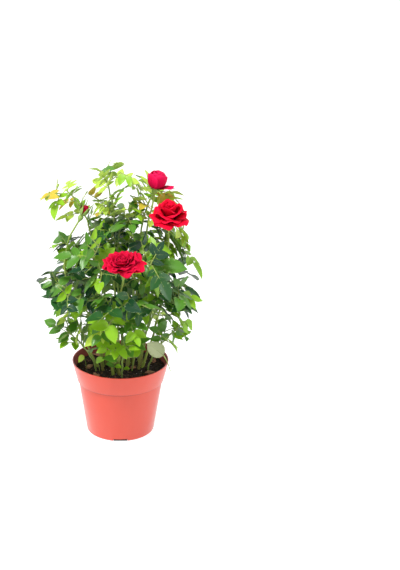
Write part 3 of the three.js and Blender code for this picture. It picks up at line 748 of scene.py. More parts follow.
# The prickles: a few short thorns on the older canes, hooked, brown to yellow-green. They are strewn over
# the bark. A prickle's rings are their height, their radius and how far they are hooked to the side.
PRICKLE_DENSITY, PRICKLE_SEED, PRICKLE_SMALLEST, PRICKLE_LARGEST = 9000, 5, 0.9 * MM, 1.9 * MM
PRICKLE_RINGS = [(0.0, 0.28, 0.0), (0.45, 0.15, -0.06), (0.8, 0.07, -0.2), (1.0, 0.015, -0.36)]
PRICKLE_BREADTH, PRICKLE_SUNK = 1.6, 0.05
corners, faces, sides = [], [], 6
for height, radius, hook in PRICKLE_RINGS:
    for i in range(sides):
        turn = 2 * math.pi * i / sides
        across = PRICKLE_BREADTH * radius * math.sin(turn) + hook
        corners.append((radius * math.cos(turn), across, height - PRICKLE_SUNK))
for ring in range(len(PRICKLE_RINGS) - 1):
    for i in range(sides):
        j = (i + 1) % sides
        faces.append((ring * sides + i, ring * sides + j, (ring + 1) * sides + j, (ring + 1) * sides + i))
faces += [tuple(range(sides - 1, -1, -1)), tuple(len(corners) - sides + i for i in range(sides))]
prickle = new_piece("prickle", new_mesh("prickle", corners, faces))
horn = speckled("prickle_horn", (900, 2), ((0.3, 0.16, 0.05, 1), (0.42, 0.4, 0.1, 1)), (0.5, 0.2, 600, 2))
prickles = strewn_over("prickles", old_canes.data, prickle, horn, PRICKLE_DENSITY, PRICKLE_SEED,
                       PRICKLE_SMALLEST, PRICKLE_LARGEST, 0.0)
bpy.data.objects.remove(prickle)


# The leaves: compound, a stalk with a leaflet at its tip and pairs along it, set round each stem in a
# spiral. They are tried in several directions and keep to the space of their own mass. After them, finer
# side twigs with smaller leaves grow from the same stems by the same rule and fill what space is left.
LEAF = {"stalk": 28, "half_stalk": 0.55, "thickness": 0.8, "droop": 0.0036, "arch": 0.006}
LEAFLET_LENGTH, LEAFLET_WIDTH, BELLY = 29, 0.7, 0.42
LEAFLETS = [
    {"at": 1, "turn": 0, "size": 1, "swing": 4},
    {"at": 0.71, "turn": 58, "size": 0.86, "swing": 6},
    {"at": 0.3, "turn": 88, "size": 0.76, "swing": 9},
]
LEAF_SIZES = {"low": 0.86, "middle": 1, "upper": 0.94, "tall": 0.66}
GOLDEN_TURN, HEADINGS, TRIES, FIRST_LEAF, FIRST_LOW_LEAF = 137.5, 8, 5, 0.08, 0.36
SWERVE, RISES, LEAF_SHRINK, LEAFLET_SHRINK = 80, (40, 80), 0.05, 0.08
SIZES, LEAFLET_SIZES, ROLLS, DROOPS, ARCHES = (0.86, 1.14), (0.9, 1.08), (-0.5, 0.5), (0.2, 1.6), (0.2, 1.3)
LIGHT_FROM_OUTSIDE, STALK_MARKS, LEAF_STEP_SHARE = 0.8, 8, 0.8
WALL_GAP, FLOOR_GAP, LIFT_SPREAD, CANES_WITHIN, CANE_STEP, STEM_STEP = 2, 1.5, 0.8, 90, 2, 3
TWIG_COUNTS = {"low": 22, "middle": 26, "upper": 22, "tall": 8}
TWIG_LEAF_SIZES = {"low": 0.62, "middle": 0.72, "upper": 0.76, "tall": 0.64}
TWIG = {"where": (0.05, 0.95), "forward": (0.2, 0.9), "reach": (15, 30), "rise": 0.25, "foot": 0.8,
        "tip": 0.5, "leaves": 4, "first": 0.25, "series": 50000}
# How far leaves may go past the space of their mass, how far they keep from limbs, and how much higher than
# their clearance they stay above the pot: first those on the stem, then those on the twigs.
STEM_ROOM, TWIG_ROOM = (0, CLEARANCE, 24), (4, 0.35, 32)


def half_width(along, length):
    """Half the width of a blade at a distance from its base."""
    belly = BELLY * length
    share = np.where(along < belly, along / belly, (length - along) / (length - belly))
    return LEAFLET_WIDTH * length / 2 * np.clip(share, 0, 1)


def add_walls(shoot):
    """The planes half-way to every other mass, behind which the shoot's leaves stay."""
    others = np.array([other.middle for other in shoots if other is not shoot])
    apart = np.linalg.norm(others - shoot.middle, axis=1)
    shoot.wall_ways = (others - shoot.middle) / apart[:, None]
    shoot.wall_places = ((others**2).sum(1) - (shoot.middle**2).sum()) / (2 * apart) - CLEARANCE


def in_space(shoot, points):
    """Whether all points are in the mass's own space, clear of the pot, the soil and the flowers."""
    if (points @ shoot.wall_ways.T > shoot.wall_places + shoot.slack).any():
        return False
    if any((np.linalg.norm(points - flower.middle, axis=1) < flower.space).any() for flower in flowers):
        return False
    out = np.hypot(points[:, 0], points[:, 1])
    over_wall = out > (pot_radius(SOIL_TOP) - POT_WALL) / MM - WALL_GAP
    floor = np.where(over_wall, RIM_HEIGHT, SOIL_LEVEL) + FLOOR_GAP + shoot.lift
    if ((out < RIM_RADIUS + WALL_GAP + LIFT_SPREAD * shoot.lift) & (points[:, 2] < floor)).any():
        return False
    if shoot.kind == "tall":
        return bool((np.linalg.norm(points - shoot.middle, axis=1) < TALL_SPACE).all())
    return bool((np.hypot(out / CROWN.radius, (points[:, 2] - CROWN.middle) / CROWN.half_height) < 1).all())


def bent(leaf, x, y, z=0.0):
    """Points of a leaf, from their places in the flat leaf: x along the stalk, y across it."""
    x, y = np.asarray(x, float), np.asarray(y, float)
    lift = z - leaf.droop * x * np.abs(x) - leaf.arch * y * y
    return leaf.foot + x[..., None] * leaf.along + y[..., None] * leaf.across + lift[..., None] * leaf.up


def laid(leaflet, x, y):
    """Places in the flat leaf, from places along and across one of its leaflets."""
    cos, sin = math.cos(leaflet.turn), math.sin(leaflet.turn)
    return leaflet.at + x * cos - y * sin, x * sin + y * cos


def leaflet_on(leaf, at, turn, length):
    """A leaflet with the frame of the flat blade that it nearly is."""
    leaflet = SimpleNamespace(at=at, turn=turn, length=length)
    x = np.array((BELLY * length, length, BELLY * length))
    y = LEAFLET_WIDTH * length / 2 * np.array((-1, 0, 1))
    points = bent(leaf, *laid(leaflet, x, y))
    leaflet.base = bent(leaf, at, 0)
    leaflet.along = unit(points[1] - leaflet.base)
    leaflet.up = unit(np.cross(leaflet.along, points[2] - points[0]))
    leaflet.across = np.cross(leaflet.up, leaflet.along)
    leaflet.outline = np.vstack((leaflet.base, points))
    return leaflet


def stacked(leaflets):
    """The frames of several blades as arrays, to test them all at once."""
    names = ("base", "along", "up", "across", "outline", "length")
    return SimpleNamespace(**{name: np.array([getattr(one, name) for one in leaflets]) for name in names})


def near_blades(blades, point, radius):
    """Whether a ball at a point comes within reach of a blade."""
    rel = point - blades.base
    along, across = (rel * blades.along).sum(-1), (rel * blades.across).sum(-1)
    off = (rel * blades.up).sum(-1)
    return ((along > -radius) & (along < blades.length + radius) & (np.abs(off) < radius + LEAF["thickness"])
            & (np.abs(across) < half_width(along, blades.length) + radius)).any()


def pierces(outlines, blades):
    """Whether an edge of an outline runs through a blade."""
    rel = outlines - blades.base[:, None]
    height = (rel * blades.up[:, None]).sum(-1)
    after = np.roll(height, -1, axis=1)
    crosses = height * after < 0
    if not crosses.any():
        return False
    share = height / np.where(crosses, height - after, 1)
    crossing = rel + (np.roll(rel, -1, axis=1) - rel) * share[..., None]
    half = half_width((crossing * blades.along[:, None]).sum(-1), blades.length[:, None])
    return (crosses & (np.abs((crossing * blades.across[:, None]).sum(-1)) < half + CLEARANCE)).any()


def leaflet_fits(shoot, leaflet):
    midrib = leaflet.base + np.outer((BELLY, 0.7), leaflet.along) * leaflet.length
    if not in_space(shoot, np.vstack((leaflet.outline[1:], midrib))):
        return False
    rel = shoot.limb_places - leaflet.base
    along, off, reach = rel @ leaflet.along, rel @ leaflet.up, shoot.limb_radii + shoot.clearance
    hits = ((along > -reach) & (along < leaflet.length + reach) & (np.abs(off) < reach + LEAF["thickness"])
            & (np.abs(rel @ leaflet.across) < half_width(along, leaflet.length) + reach))
    if hits.any():
        return False
    if not shoot.leaflets:
        return True
    one = stacked([leaflet])
    return not (pierces(one.outline, shoot.blades) or pierces(shoot.blades.outline, one))


def stalk_points(leaf):
    return bent(leaf, leaf.marks, np.zeros(len(leaf.marks)))


def stalk_fits(shoot, leaf):
    clear = LEAF["half_stalk"] + CLEARANCE
    points = stalk_points(leaf)
    if not in_space(shoot, points):
        return False
    apart = np.linalg.norm(points[:, None] - shoot.cane_places, axis=2)
    if (apart < shoot.cane_radii + clear).any():
        return False
    return not shoot.leaflets or not any(near_blades(shoot.blades, point, clear) for point in points)


def leaf_at(foot, along, size, roll):
    """A bare leaf, its upper face turned to the light from above and from outside the crown."""
    outward = np.array((foot[0], foot[1], 0))
    light = outward / (np.linalg.norm(outward) or 1) * LIGHT_FROM_OUTSIDE + UP
    across = turned(unit(np.cross(light, along)), along, roll.between(*ROLLS))
    stalk = LEAF["stalk"] * size
    return SimpleNamespace(
        foot=foot, along=along, across=across, up=np.cross(along, across), leaflets=[], stalk=stalk,
        marks=stalk * np.arange(1, STALK_MARKS + 1) / STALK_MARKS,
        droop=LEAF["droop"] * roll.between(*DROOPS), arch=LEAF["arch"] * roll.between(*ARCHES),
    )


def compound_leaf(shoot, foot, tangent, turn, size, roll):
    """Tries a leaf in several directions, and each leaflet at several angles and sizes."""
    side = unit(np.cross(tangent, ASIDE))
    for i in range(HEADINGS):
        around = turn + math.radians(roll.between(-1, 1) * SWERVE * (i > 0))
        rise = math.radians(roll.between(*RISES))
        along = unit(turned(side, tangent, around) * math.sin(rise) + tangent * math.cos(rise))
        leaf = leaf_at(foot, along, size * (1 - LEAF_SHRINK * i), roll)
        if not stalk_fits(shoot, leaf):
            continue
        for place in LEAFLETS:
            for hand in (-1, 1) if place["turn"] else (0,):
                for k in range(TRIES):
                    swung = math.radians(hand * place["turn"] + place["swing"] * roll.between(-1, 1))
                    length = LEAFLET_LENGTH * size * place["size"] * roll.between(*LEAFLET_SIZES)
                    length *= 1 - LEAFLET_SHRINK * k
                    leaflet = leaflet_on(leaf, place["at"] * leaf.stalk, swung, length)
                    if leaflet_fits(shoot, leaflet):
                        leaf.leaflets.append(leaflet)
                        break
        if len(leaf.leaflets) > 1:
            shoot.leaflets += leaf.leaflets
            shoot.blades = stacked(shoot.leaflets)
            points = stalk_points(leaf)
            shoot.limb_places = np.vstack((shoot.limb_places, points))
            shoot.limb_radii = np.append(shoot.limb_radii, np.full(len(points), LEAF["half_stalk"]))
            return leaf
    return None


def leaves_along(shoot, limb, count, first, size, series, spin):
    """Leaves at even steps along a limb, from a share of its length up, in a spiral."""
    found = []
    for i in range(count):
        roll = Dice(series + i)
        share = first + (1 - first) * (i + LEAF_STEP_SHARE) / count
        grown = roll.between(*SIZES) * size
        turn = math.radians(GOLDEN_TURN * i + spin)
        leaf = compound_leaf(shoot, limb.at(share), limb.heading(share), turn, grown, roll)
        if leaf:
            leaf.series = series + i
            found.append(leaf)
    return found


def side_twig(shoot, series):
    """A finer twig from the stem of a mass, where one fits, with smaller leaves."""
    roll = Dice(series)
    share = roll.between(*TWIG["where"])
    foot, tangent = shoot.stem.at(share), shoot.stem.heading(share)
    side = unit(np.cross(tangent, ASIDE))
    out = turned(side, tangent, roll.between(0, 2 * math.pi))
    way = unit(out + tangent * roll.between(*TWIG["forward"]))
    reach = roll.between(*TWIG["reach"])
    twig = Limb(foot, foot + way * reach * 0.5, foot + way * reach + UP * TWIG["rise"] * reach)
    shares, places = twig.points(STEM_STEP)
    clear = TWIG["foot"] + CLEARANCE
    if not in_space(shoot, places):
        return None
    apart = np.linalg.norm(places[1:, None] - shoot.limb_places, axis=2)
    if (apart < shoot.limb_radii + clear).any(1)[1:].any():
        return None
    if shoot.leaflets and any(near_blades(shoot.blades, place, clear) for place in places[1:]):
        return None
    shoot.limb_places = np.vstack((shoot.limb_places, places))
    shoot.limb_radii = np.append(shoot.limb_radii, tapered(TWIG["foot"], TWIG["tip"])(shares))
    shoot.sprays += leaves_along(shoot, twig, TWIG["leaves"], TWIG["first"], TWIG_LEAF_SIZES[shoot.kind],
                                 10 * series, 60 * share)
    return twig


def grown(shoot):
    """Everything that a mass holds: its stem, its leaves and its side twigs."""
    shares, places = shoot.stem.points(STEM_STEP)
    shoot.leaflets, shoot.sprays, shoot.blades = [], [], None
    shoot.cane_places, shoot.cane_radii = near_canes(shoot)
    shoot.limb_places = np.vstack((shoot.cane_places, places))
    shoot.limb_radii = np.append(shoot.cane_radii, tapered(STEM["foot"], STEM["tip"])(shares))
    first = FIRST_LEAF if shoot.cane else FIRST_LOW_LEAF
    shoot.slack, shoot.clearance, shoot.lift = STEM_ROOM
    shoot.sprays += leaves_along(shoot, shoot.stem, shoot.leaves, first, LEAF_SIZES[shoot.kind],
                                 shoot.series * 31, 40 * shoot.series)
    shoot.slack, shoot.clearance, shoot.lift = TWIG_ROOM
    series = TWIG["series"] + 40 * shoot.series
    twigs = (side_twig(shoot, series + i) for i in range(TWIG_COUNTS[shoot.kind]))
    shoot.twigs = [twig for twig in twigs if twig]


def near_canes(shoot):
    """The points of every cane that pass near a mass, with their radii."""
    near = np.linalg.norm(cane_places - shoot.middle, axis=1) < CANES_WITHIN
    return cane_places[near], cane_radii[near]


marked = [grower.cane.points(CANE_STEP) for grower in cane_shoots + flowers]
cane_places = np.vstack([places for _, places in marked])
cane_radii = np.concatenate([cane_radius(shares) for shares, _ in marked])
for shoot in shoots:
    add_walls(shoot)
    grown(shoot)


# The stems inside the masses, the side twigs and the leaf stalks, which run on as the midrib of each
# leaflet. They are soft green wood, lighter and yellower where it is young.
STALK_RADII, RIB_RADII, RIB_STEPS, RIB_END = (0.75, 0.42), (0.28, 0.08), 5, 0.94
STALK_DROP, STALK_STEPS, STALK_SIDES, PICKED_STEP = 0.12, 7, 4, 2
STEM_SIDES, STEM_RELIEF, STEM_BUD_SPACING, STEM_SERIES, WOOD_SCALE = 8, 0.06 * MM, 9, 6000, 500.0
stem_limbs, stalk_limbs = [], []
for shoot in shoots:
    stem_limbs.append(with_buds(shoot.stem, tapered(STEM["foot"], STEM["tip"]), STEM_BUD_SPACING,
                                STEM_SERIES + shoot.series))
    for twig in shoot.twigs:
        shares, places = twig.points(STEM_STEP)
        stem_limbs.append((places, tapered(TWIG["foot"], TWIG["tip"])(shares)))
green_wood = bark_finish("green_wood", (0.2, 0.3, 0.06, 1), (0.34, 0.46, 0.1, 1), 110, 280)
limbs_piece("stems_and_twigs", stem_limbs, STEM_SIDES, STEM_RELIEF, WOOD_SCALE, green_wood)


# The blades: semi-glossy green above and paler beneath, sawn along their edges. Each spray has one of the
# plant's tints, from the blue-green of old leaves to the yellow-green and copper of new ones. Where the
# tints fall is partly painted shade and light: darker inside the crown, lighter low down.
BLADE_STEPS, BLADE_THICKNESS, TOOTH, TEETH_AHEAD, VEINS_AHEAD, QUILT_LINE = 10, 0.3, 0.04, 0.3, 0.03, 0.55
SLIMNESS, FOLDS, CURLS, WAVES, QUILTING = (0.36, 0.5), (0.05, 0.45), (-0.02, 0.16), (-0.05, 0.05), 0.012
FOOT_CURVE, TIP_CURVE, GREATEST = 0.58, 0.92, 0.369
UPPER, UNDER = 0, 1


def blade_outline(share):
    """Half the width of a real leaflet along its length, as a share of its greatest half width."""
    return (np.maximum(share, 0) ** FOOT_CURVE * np.maximum(1 - share, 0) ** TIP_CURVE) / GREATEST


def blade_template():
    """A leaflet's corners as (share of length, share of half width, quilting), and its faces by side."""
    places, faces, rows = [], [], []

    def corner(share, width, quilting=0.0):
        places.append((share, width, quilting))
        return len(places) - 1

    for i in range(BLADE_STEPS + 1):
        share = i / BLADE_STEPS
        if i in (0, BLADE_STEPS):
            point = corner(share, 0)
            rows.append([point] * 5)
            continue
        edge, quilting = blade_outline(share), (1 if i % 2 else -1)
        rows.append([
            corner(share - VEINS_AHEAD, -edge), corner(share, -QUILT_LINE * edge, quilting),
            corner(share, 0),
            corner(share, QUILT_LINE * edge, quilting), corner(share - VEINS_AHEAD, edge),
        ])
    rim = {row[0] for row in rows} | {row[4] for row in rows}
    for i, (low, high) in enumerate(zip(rows, rows[1:])):
        for left in range(4):
            face = (low[left], low[left + 1], high[left + 1], high[left])
            faces.append(tuple(dict.fromkeys(face)))
        share = (i + 0.5 + TEETH_AHEAD) / BLADE_STEPS
        for side, hand in ((0, -1), (4, 1)):
            tooth = corner(share - VEINS_AHEAD, hand * (blade_outline(share) + 2 * TOOTH))
            rim.add(tooth)
            face = (low[side], high[side], tooth)
            faces.append(face if side == 0 else face[::-1])
    return np.array(places), faces, sorted(rim)


template, template_faces, rim = blade_template()
inner = [i for i in range(len(template)) if i not in rim]
below = {corner: len(template) + k for k, corner in enumerate(inner)}
under_faces = [tuple(below.get(corner, corner) for corner in reversed(face)) for face in template_faces]
BLADE_CORNERS = len(template) + len(inner)


def blade(leaf, leaflet, roll):
    """The corners of one leaflet: folded along its midrib, quilted between its veins, its tip bent down."""
    share, width, quilting = template.T
    length = leaflet.length
    slimness = roll.between(*SLIMNESS)
    x, y = share * length, width * LEAFLET_WIDTH * slimness * leaf.slender * length
    fold, curl, wave = roll.between(*FOLDS), roll.between(*CURLS), roll.between(*WAVES)
    z = (fold * np.abs(y) - curl * length * share**2 + QUILTING * length * quilting * (1 - share)
         + wave * length * np.sin(6 * share + 2 * np.sign(y)) * np.abs(width))
    top = bent(leaf, *laid(leaflet, x, y), z)
    under = top[inner] - leaf.up * BLADE_THICKNESS
    rib_share = np.linspace(0, RIB_END, RIB_STEPS)
    rib_rise = -curl * length * rib_share**2 - STALK_DROP
    rib = bent(leaf, *laid(leaflet, rib_share * length, 0 * rib_share), rib_rise)
    return np.vstack((top, under)), rib


# Each tint is the colour of the upper side and of the under side. The moods say how often each kind of
# shoot has each tint. Leaves that set out below a height, which is lower at the back, have the low mood.
# The middle mood's many dark old and deep leaves are partly painted shade inside the crown, and the low
# mood's light tints partly painted light on the low leaves; the rest is the leaves' own colour.
TINTS = {
    "old": ((0.011, 0.064, 0.022), (0.15, 0.26, 0.11)),
    "deep": ((0.024, 0.112, 0.022), (0.18, 0.30, 0.12)),
    "grown": ((0.096, 0.275, 0.024), (0.25, 0.40, 0.11)),
    "fresh": ((0.27, 0.53, 0.014), (0.35, 0.53, 0.10)),
    "young": ((0.50, 0.68, 0.080), (0.50, 0.66, 0.16)),
    "copper": ((0.62, 0.50, 0.05), (0.58, 0.50, 0.1)),
    "pale": ((0.36, 0.42, 0.20), (0.42, 0.47, 0.27)),
}
MOODS = {
    "low": {"deep": 1.1, "grown": 4.8, "fresh": 4.7, "young": 0.8},
    "middle": {"old": 3.9, "deep": 4.3, "grown": 3.1, "fresh": 1.2},
    "upper": {"old": 1.8, "deep": 3, "grown": 3.6, "fresh": 2.4, "young": 0.5},
    "bright": {"grown": 1.5, "fresh": 5, "young": 3},
    "tall": {"grown": 0.4, "fresh": 2.6, "young": 6, "copper": 0.8},
}
LOW_LEAVES_BELOW, LOW_LEAF_SIZE, LOW_SLOPE, LOW_SPREAD = 172, 0.86, 0.25, 14
SLENDER = {"low": 1, "middle": 1, "upper": 0.95, "tall": 0.88}
GLOSS = {"old": 0.25, "deep": 0.28, "grown": 0.34, "fresh": 0.43, "young": 0.48, "copper": 0.5, "pale": 0.5}
SHINE_THROUGH, SHINE_TINT, UNDER_GLOSS = 0.3, (1.5, 1.35, 0.6), 0.6
LEAF_SERIES, PICKED_SERIES, PICKED_DROOP, PICKED_TAPER = 200000, 300000, 0.004, 0.6


def tint_for(kind, roll):
    """One of the tints that a kind of shoot carries, by chance."""
    mood = MOODS[kind]
    mark = roll.between(0, sum(mood.values()))
    for tint, share in mood.items():
        mark -= share
        if mark <= 0:
            return tint
    return tint


def blade_finish(name, colour, gloss):
    """A thin blade: a glossy skin, and part of the light that comes through it, yellower than the skin."""
    finish, bench = new_finish(name)
    skin = bench.node("ShaderNodeBsdfPrincipled", {
        "Base Color": (*colour, 1), "Roughness": gloss, "Specular IOR Level": 0.5,
    })
    lit = tuple(min(1, share * channel) for share, channel in zip(SHINE_TINT, colour)) + (1,)
    glow = bench.node("ShaderNodeBsdfTranslucent", {"Color": lit})
    both = bench.node("ShaderNodeMixShader", {"Fac": SHINE_THROUGH, "Shader": skin, "Shader_001": glow})
    bench.node("ShaderNodeOutputMaterial", {"Surface": both})
    return finish


def shut_sheets(mesh):
    """Keeps the thin rim between a blade's upper and under face sharp."""
    edges = np.empty(len(mesh.edges) * 2, int)
    mesh.edges.foreach_get("vertices", edges)
    is_rim = np.isin(edges.reshape(-1, 2) % BLADE_CORNERS, rim).all(axis=1)
    sharp = mesh.attributes.new("sharp_edge", "BOOLEAN", "EDGE")
    sharp.data.foreach_set("value", is_rim)


# Some leaves are listed one by one: a pale one that shows its underside over the pot's right edge, a
# bright one on the right, small ones near the soil and narrow ones under the top bloom. Each is its tint,
# its foot, its tip and the way its upper side looks. Their stalks, and one young shoot, are three points and
# a radius.
PICKED_LEAVES = [
    ("pale", (52, -47, 119), (30, -50, 139), (0.1, 0.9, -0.35)),
    ("fresh", (68, -6, 127), (86, -8, 136), (-0.2, -0.6, 0.8)),
    ("fresh", (-30, -24, 102), (-20, -32, 107), (0.0, -0.7, 0.7)),
    ("young", (-46, -12, 104), (-52, -16, 96), (0.0, -0.8, 0.5)),
    ("fresh", (-6, -32, 99), (1, -41, 100), (0.0, -0.6, 0.8)),
    ("grown", (-8, -31, 99), (-17, -37, 104), (0.1, -0.6, 0.8)),
    ("fresh", (4, -34, 96), (11, -38, 98), (0.1, -0.5, 0.9)),
    ("young", (46, 5, 292), (59, 3, 311), (0.3, -0.8, 0.4)),
    ("copper", (47, 4, 296), (52, 2, 310), (-0.3, -0.8, 0.4)),
    ("young", (50, 4, 299), (66, 3, 304), (0.0, -0.7, 0.7)),
]
PICKED_STALKS = [
    ((40, -12, 124), (50, -34, 134), (52, -47, 119), 0.7),
    ((52, -47, 119), (57, -42, 110), (61, -36, 93), 0.8),
    ((14, -14, 84), (17, -26, 112), (28, -40, 152), 1.1),
    ((46, 0, 116), (60, 0, 130), (68, -6, 127), 0.6),
    ((40, 9, 280), (44, 7, 288), (50, 4, 299), 0.6),
    ((-26, -16, 84), (-26, -22, 96), (-30, -24, 102), 0.5),
    ((-42, -8, 84), (-44, -10, 98), (-46, -12, 104), 0.5),
    ((-4, -24, 84), (-4, -30, 92), (-6, -32, 99), 0.5),
    ((-4, -24, 84), (-8, -27, 92), (-8, -31, 99), 0.5),
    ((-2, -26, 84), (4, -30, 90), (4, -34, 96), 0.5),
]
blades = {tint: [] for tint in TINTS}


def add_blade(leaf, leaflet, tint, roll):
    """Draws a leaflet in its tint, and its midrib."""
    corners, rib = blade(leaf, leaflet, roll)
    blades[tint].append(corners)
    stalk_limbs.append((rib, np.linspace(*RIB_RADII, RIB_STEPS)))


for shoot in shoots:
    for leaf in shoot.sprays:
        roll = Dice(LEAF_SERIES + leaf.series)
        height = leaf.foot[2] + LOW_SLOPE * leaf.foot[1] + roll.between(-LOW_SPREAD, LOW_SPREAD)
        is_low = height < LOW_LEAVES_BELOW
        tint = tint_for("low" if is_low else shoot.mood, roll)
        leaf.slender = SLENDER[shoot.kind]
        marks = np.linspace(0, leaf.stalk, STALK_STEPS)
        stalk_limbs.append((bent(leaf, marks, 0 * marks, -STALK_DROP),
                            np.linspace(*STALK_RADII, STALK_STEPS)))
        for leaflet in leaf.leaflets:
            leaflet.length *= LOW_LEAF_SIZE if is_low else 1
            add_blade(leaf, leaflet, tint, roll)
for number, (tint, foot, tip, up) in enumerate(PICKED_LEAVES):
    foot, tip = np.array(foot, float), np.array(tip, float)
    along = unit(tip - foot)
    across = unit(np.cross(up, along))
    leaf = SimpleNamespace(foot=foot, along=along, across=across, up=np.cross(along, across),
                           droop=PICKED_DROOP, arch=LEAF["arch"], slender=1)
    leaflet = leaflet_on(leaf, 0, 0, np.linalg.norm(tip - foot))
    add_blade(leaf, leaflet, tint, Dice(PICKED_SERIES + number))
for *path, thick in PICKED_STALKS:
    stalk = Limb(*path)
    shares, places = stalk.points(PICKED_STEP)
    stalk_limbs.append((places, tapered(thick, PICKED_TAPER * thick)(shares)))
stalk_skin = bark_finish("stalk_skin", (0.26, 0.36, 0.07, 1), (0.36, 0.45, 0.1, 1), 100, 300)
stalks = limbs_piece("stalks_and_ribs", stalk_limbs, STALK_SIDES, 0.0, WOOD_SCALE, stalk_skin)
for tint, sheets in blades.items():
    faces = [tuple(corner + BLADE_CORNERS * i for corner in face)
             for i in range(len(sheets)) for face in template_faces + under_faces]
    mesh = new_mesh(f"{tint}_blades", np.concatenate(sheets) * MM, faces)
    sides = np.tile([UPPER] * len(template_faces) + [UNDER] * len(under_faces), len(sheets))
    mesh.polygons.foreach_set("material_index", sides)
    above, beneath = TINTS[tint]
    piece = new_piece(f"{tint}_blades", mesh, blade_finish(f"{tint}_leaf_above", above, GLOSS[tint]),
                      blade_finish(f"{tint}_leaf_beneath", beneath, UNDER_GLOSS))
    shut_sheets(mesh)
    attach(piece, "root")
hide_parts(*(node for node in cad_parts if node.startswith("leaves_")))


# The blooms: thin velvety petals in a golden-angle spiral round a green hip, rolled tight at the heart and
# spread outwards. Each bloom is told by the shape of its petals at a few stages from the heart to the rim:
# lengths and half widths in millimetres, and angles from the flower's axis at the base, middle and tip.
PETAL_ROWS, PETAL_COLUMNS, PETAL_THICKNESS = 10, 9, 0.32 * MM
PETAL_ALONG = np.linspace(0, 1, PETAL_ROWS)[:, None]
PETAL_ACROSS = np.linspace(-1, 1, PETAL_COLUMNS)[None, :]
PETAL_TURN, PETAL_SERIES, USUAL_JITTER = math.radians(137.508), 7000, 9
CUPPED_SIDE, CUP_AT_BASE, RIM_WRAP, LEAST_WRAP, SHORT_SIDES = 210, 0.3, 0.9, 2.2, 0.13
STAGE_SPREAD, HEART_RUFFLE, PETAL_SIZES = 0.9, 0.3, (0.94, 1.04)
WAVES_UP, WAVES_OUT, WAVE_START = (4, 9), (3, 7), (0, 6)
# The keys say where the stages lie, if not evenly. A petal sets out at start from the axis, side_roll bends
# its sides back and lap slides one side over its neighbour. Ruffle waves its edge, jitter turns it unevenly
# and cup raises it on the cupped side, in degrees.
BLOOMS = {
    "bloom_front": {
        "petals": 40, "twist": 20, "ruffle": 1.7, "cup": 34, "jitter": 24, "stages": {
            "length": (13, 15, 17.5, 20.5, 24.5), "half": (5, 7, 9, 12, 14), "base": (2, 24, 42, 58, 74),
            "middle": (-6, 14, 30, 54, 80), "tip": (-50, 0, 30, 76, 104), "side_roll": (0, 4, 14, 30, 40),
            "lap": (1.1, 1.0, 0.6, 0.2, 0), "start": (0.5, 1.1, 1.7, 2.3, 2.8)}},
    "bloom_right": {
        "petals": 32, "twist": 75, "ruffle": 0.7, "stages": {
            "length": (24, 25, 25, 22.5, 23), "half": (6, 9, 12, 13.5, 14), "base": (0, 8, 20, 54, 80),
            "middle": (-4, 2, 9, 40, 84), "tip": (-28, -14, 12, 82, 112), "side_roll": (0, 0, 16, 36, 46),
            "lap": (1.4, 1.2, 0.8, 0.2, 0), "start": (0.4, 0.9, 1.5, 2.2, 2.8)}},
    "bloom_top": {
        "petals": 18, "twist": 176, "ruffle": 0.35, "stages": {
            "keys": (0, 0.2, 0.4, 0.7, 0.955, 1), "length": (19, 20.5, 22, 23, 23.5, 21),
            "half": (5, 7, 9, 11, 12, 8), "base": (0, 20, 46, 72, 86, 84), "middle": (-2, 0, 2, 6, 8, 60),
            "tip": (-28, -24, -18, -8, 0, 78), "side_roll": (0, 0, 2, 4, 6, 24),
            "lap": (1.2, 1.0, 0.8, 0.6, 0.3, 0), "start": (0.4, 0.8, 1.2, 1.7, 2.2, 2.6)}},
    "bud": {
        "petals": 9, "twist": 0, "ruffle": 0.1, "stages": {
            "length": (13, 13.5, 14, 14.3, 14.6), "half": (3.4, 4, 4.8, 5.6, 6), "base": (0, 9, 20, 33, 44),
            "middle": (-2, -1, 0, 1, 2), "tip": (-24, -26, -28, -30, -32), "side_roll": (0, 0, 0, 0, 0),
            "lap": (0.6, 0.6, 0.5, 0.4, 0.3), "start": (0.3, 0.6, 0.9, 1.2, 1.5)}},
}
# Each bloom's reds: a dark crimson that paints the shade in its heart and at the foot of its petals and also
# colours the veins; its own red; and a paler, pinker red painted as a highlight on the petals' edges.
REDS = {
    "bloom_front": ((0.17, 0.0, 0.008, 1), (0.64, 0.0, 0.024, 1), (0.74, 0.008, 0.07, 1)),
    "bloom_right": ((0.34, 0.0, 0.010, 1), (0.80, 0.0, 0.022, 1), (0.84, 0.006, 0.05, 1)),
    "bloom_top": ((0.36, 0.0, 0.03, 1), (0.74, 0.0, 0.062, 1), (0.80, 0.02, 0.12, 1)),
    "bud": ((0.16, 0.0, 0.006, 1), (0.34, 0.001, 0.02, 1), (0.42, 0.01, 0.04, 1)),
}


def eased(shares, low, high):
    """0 below low, 1 above high, and a smooth step between them."""
    shares = np.clip((shares - low) / (high - low), 0, 1)
    return shares * shares * (3 - 2 * shares)


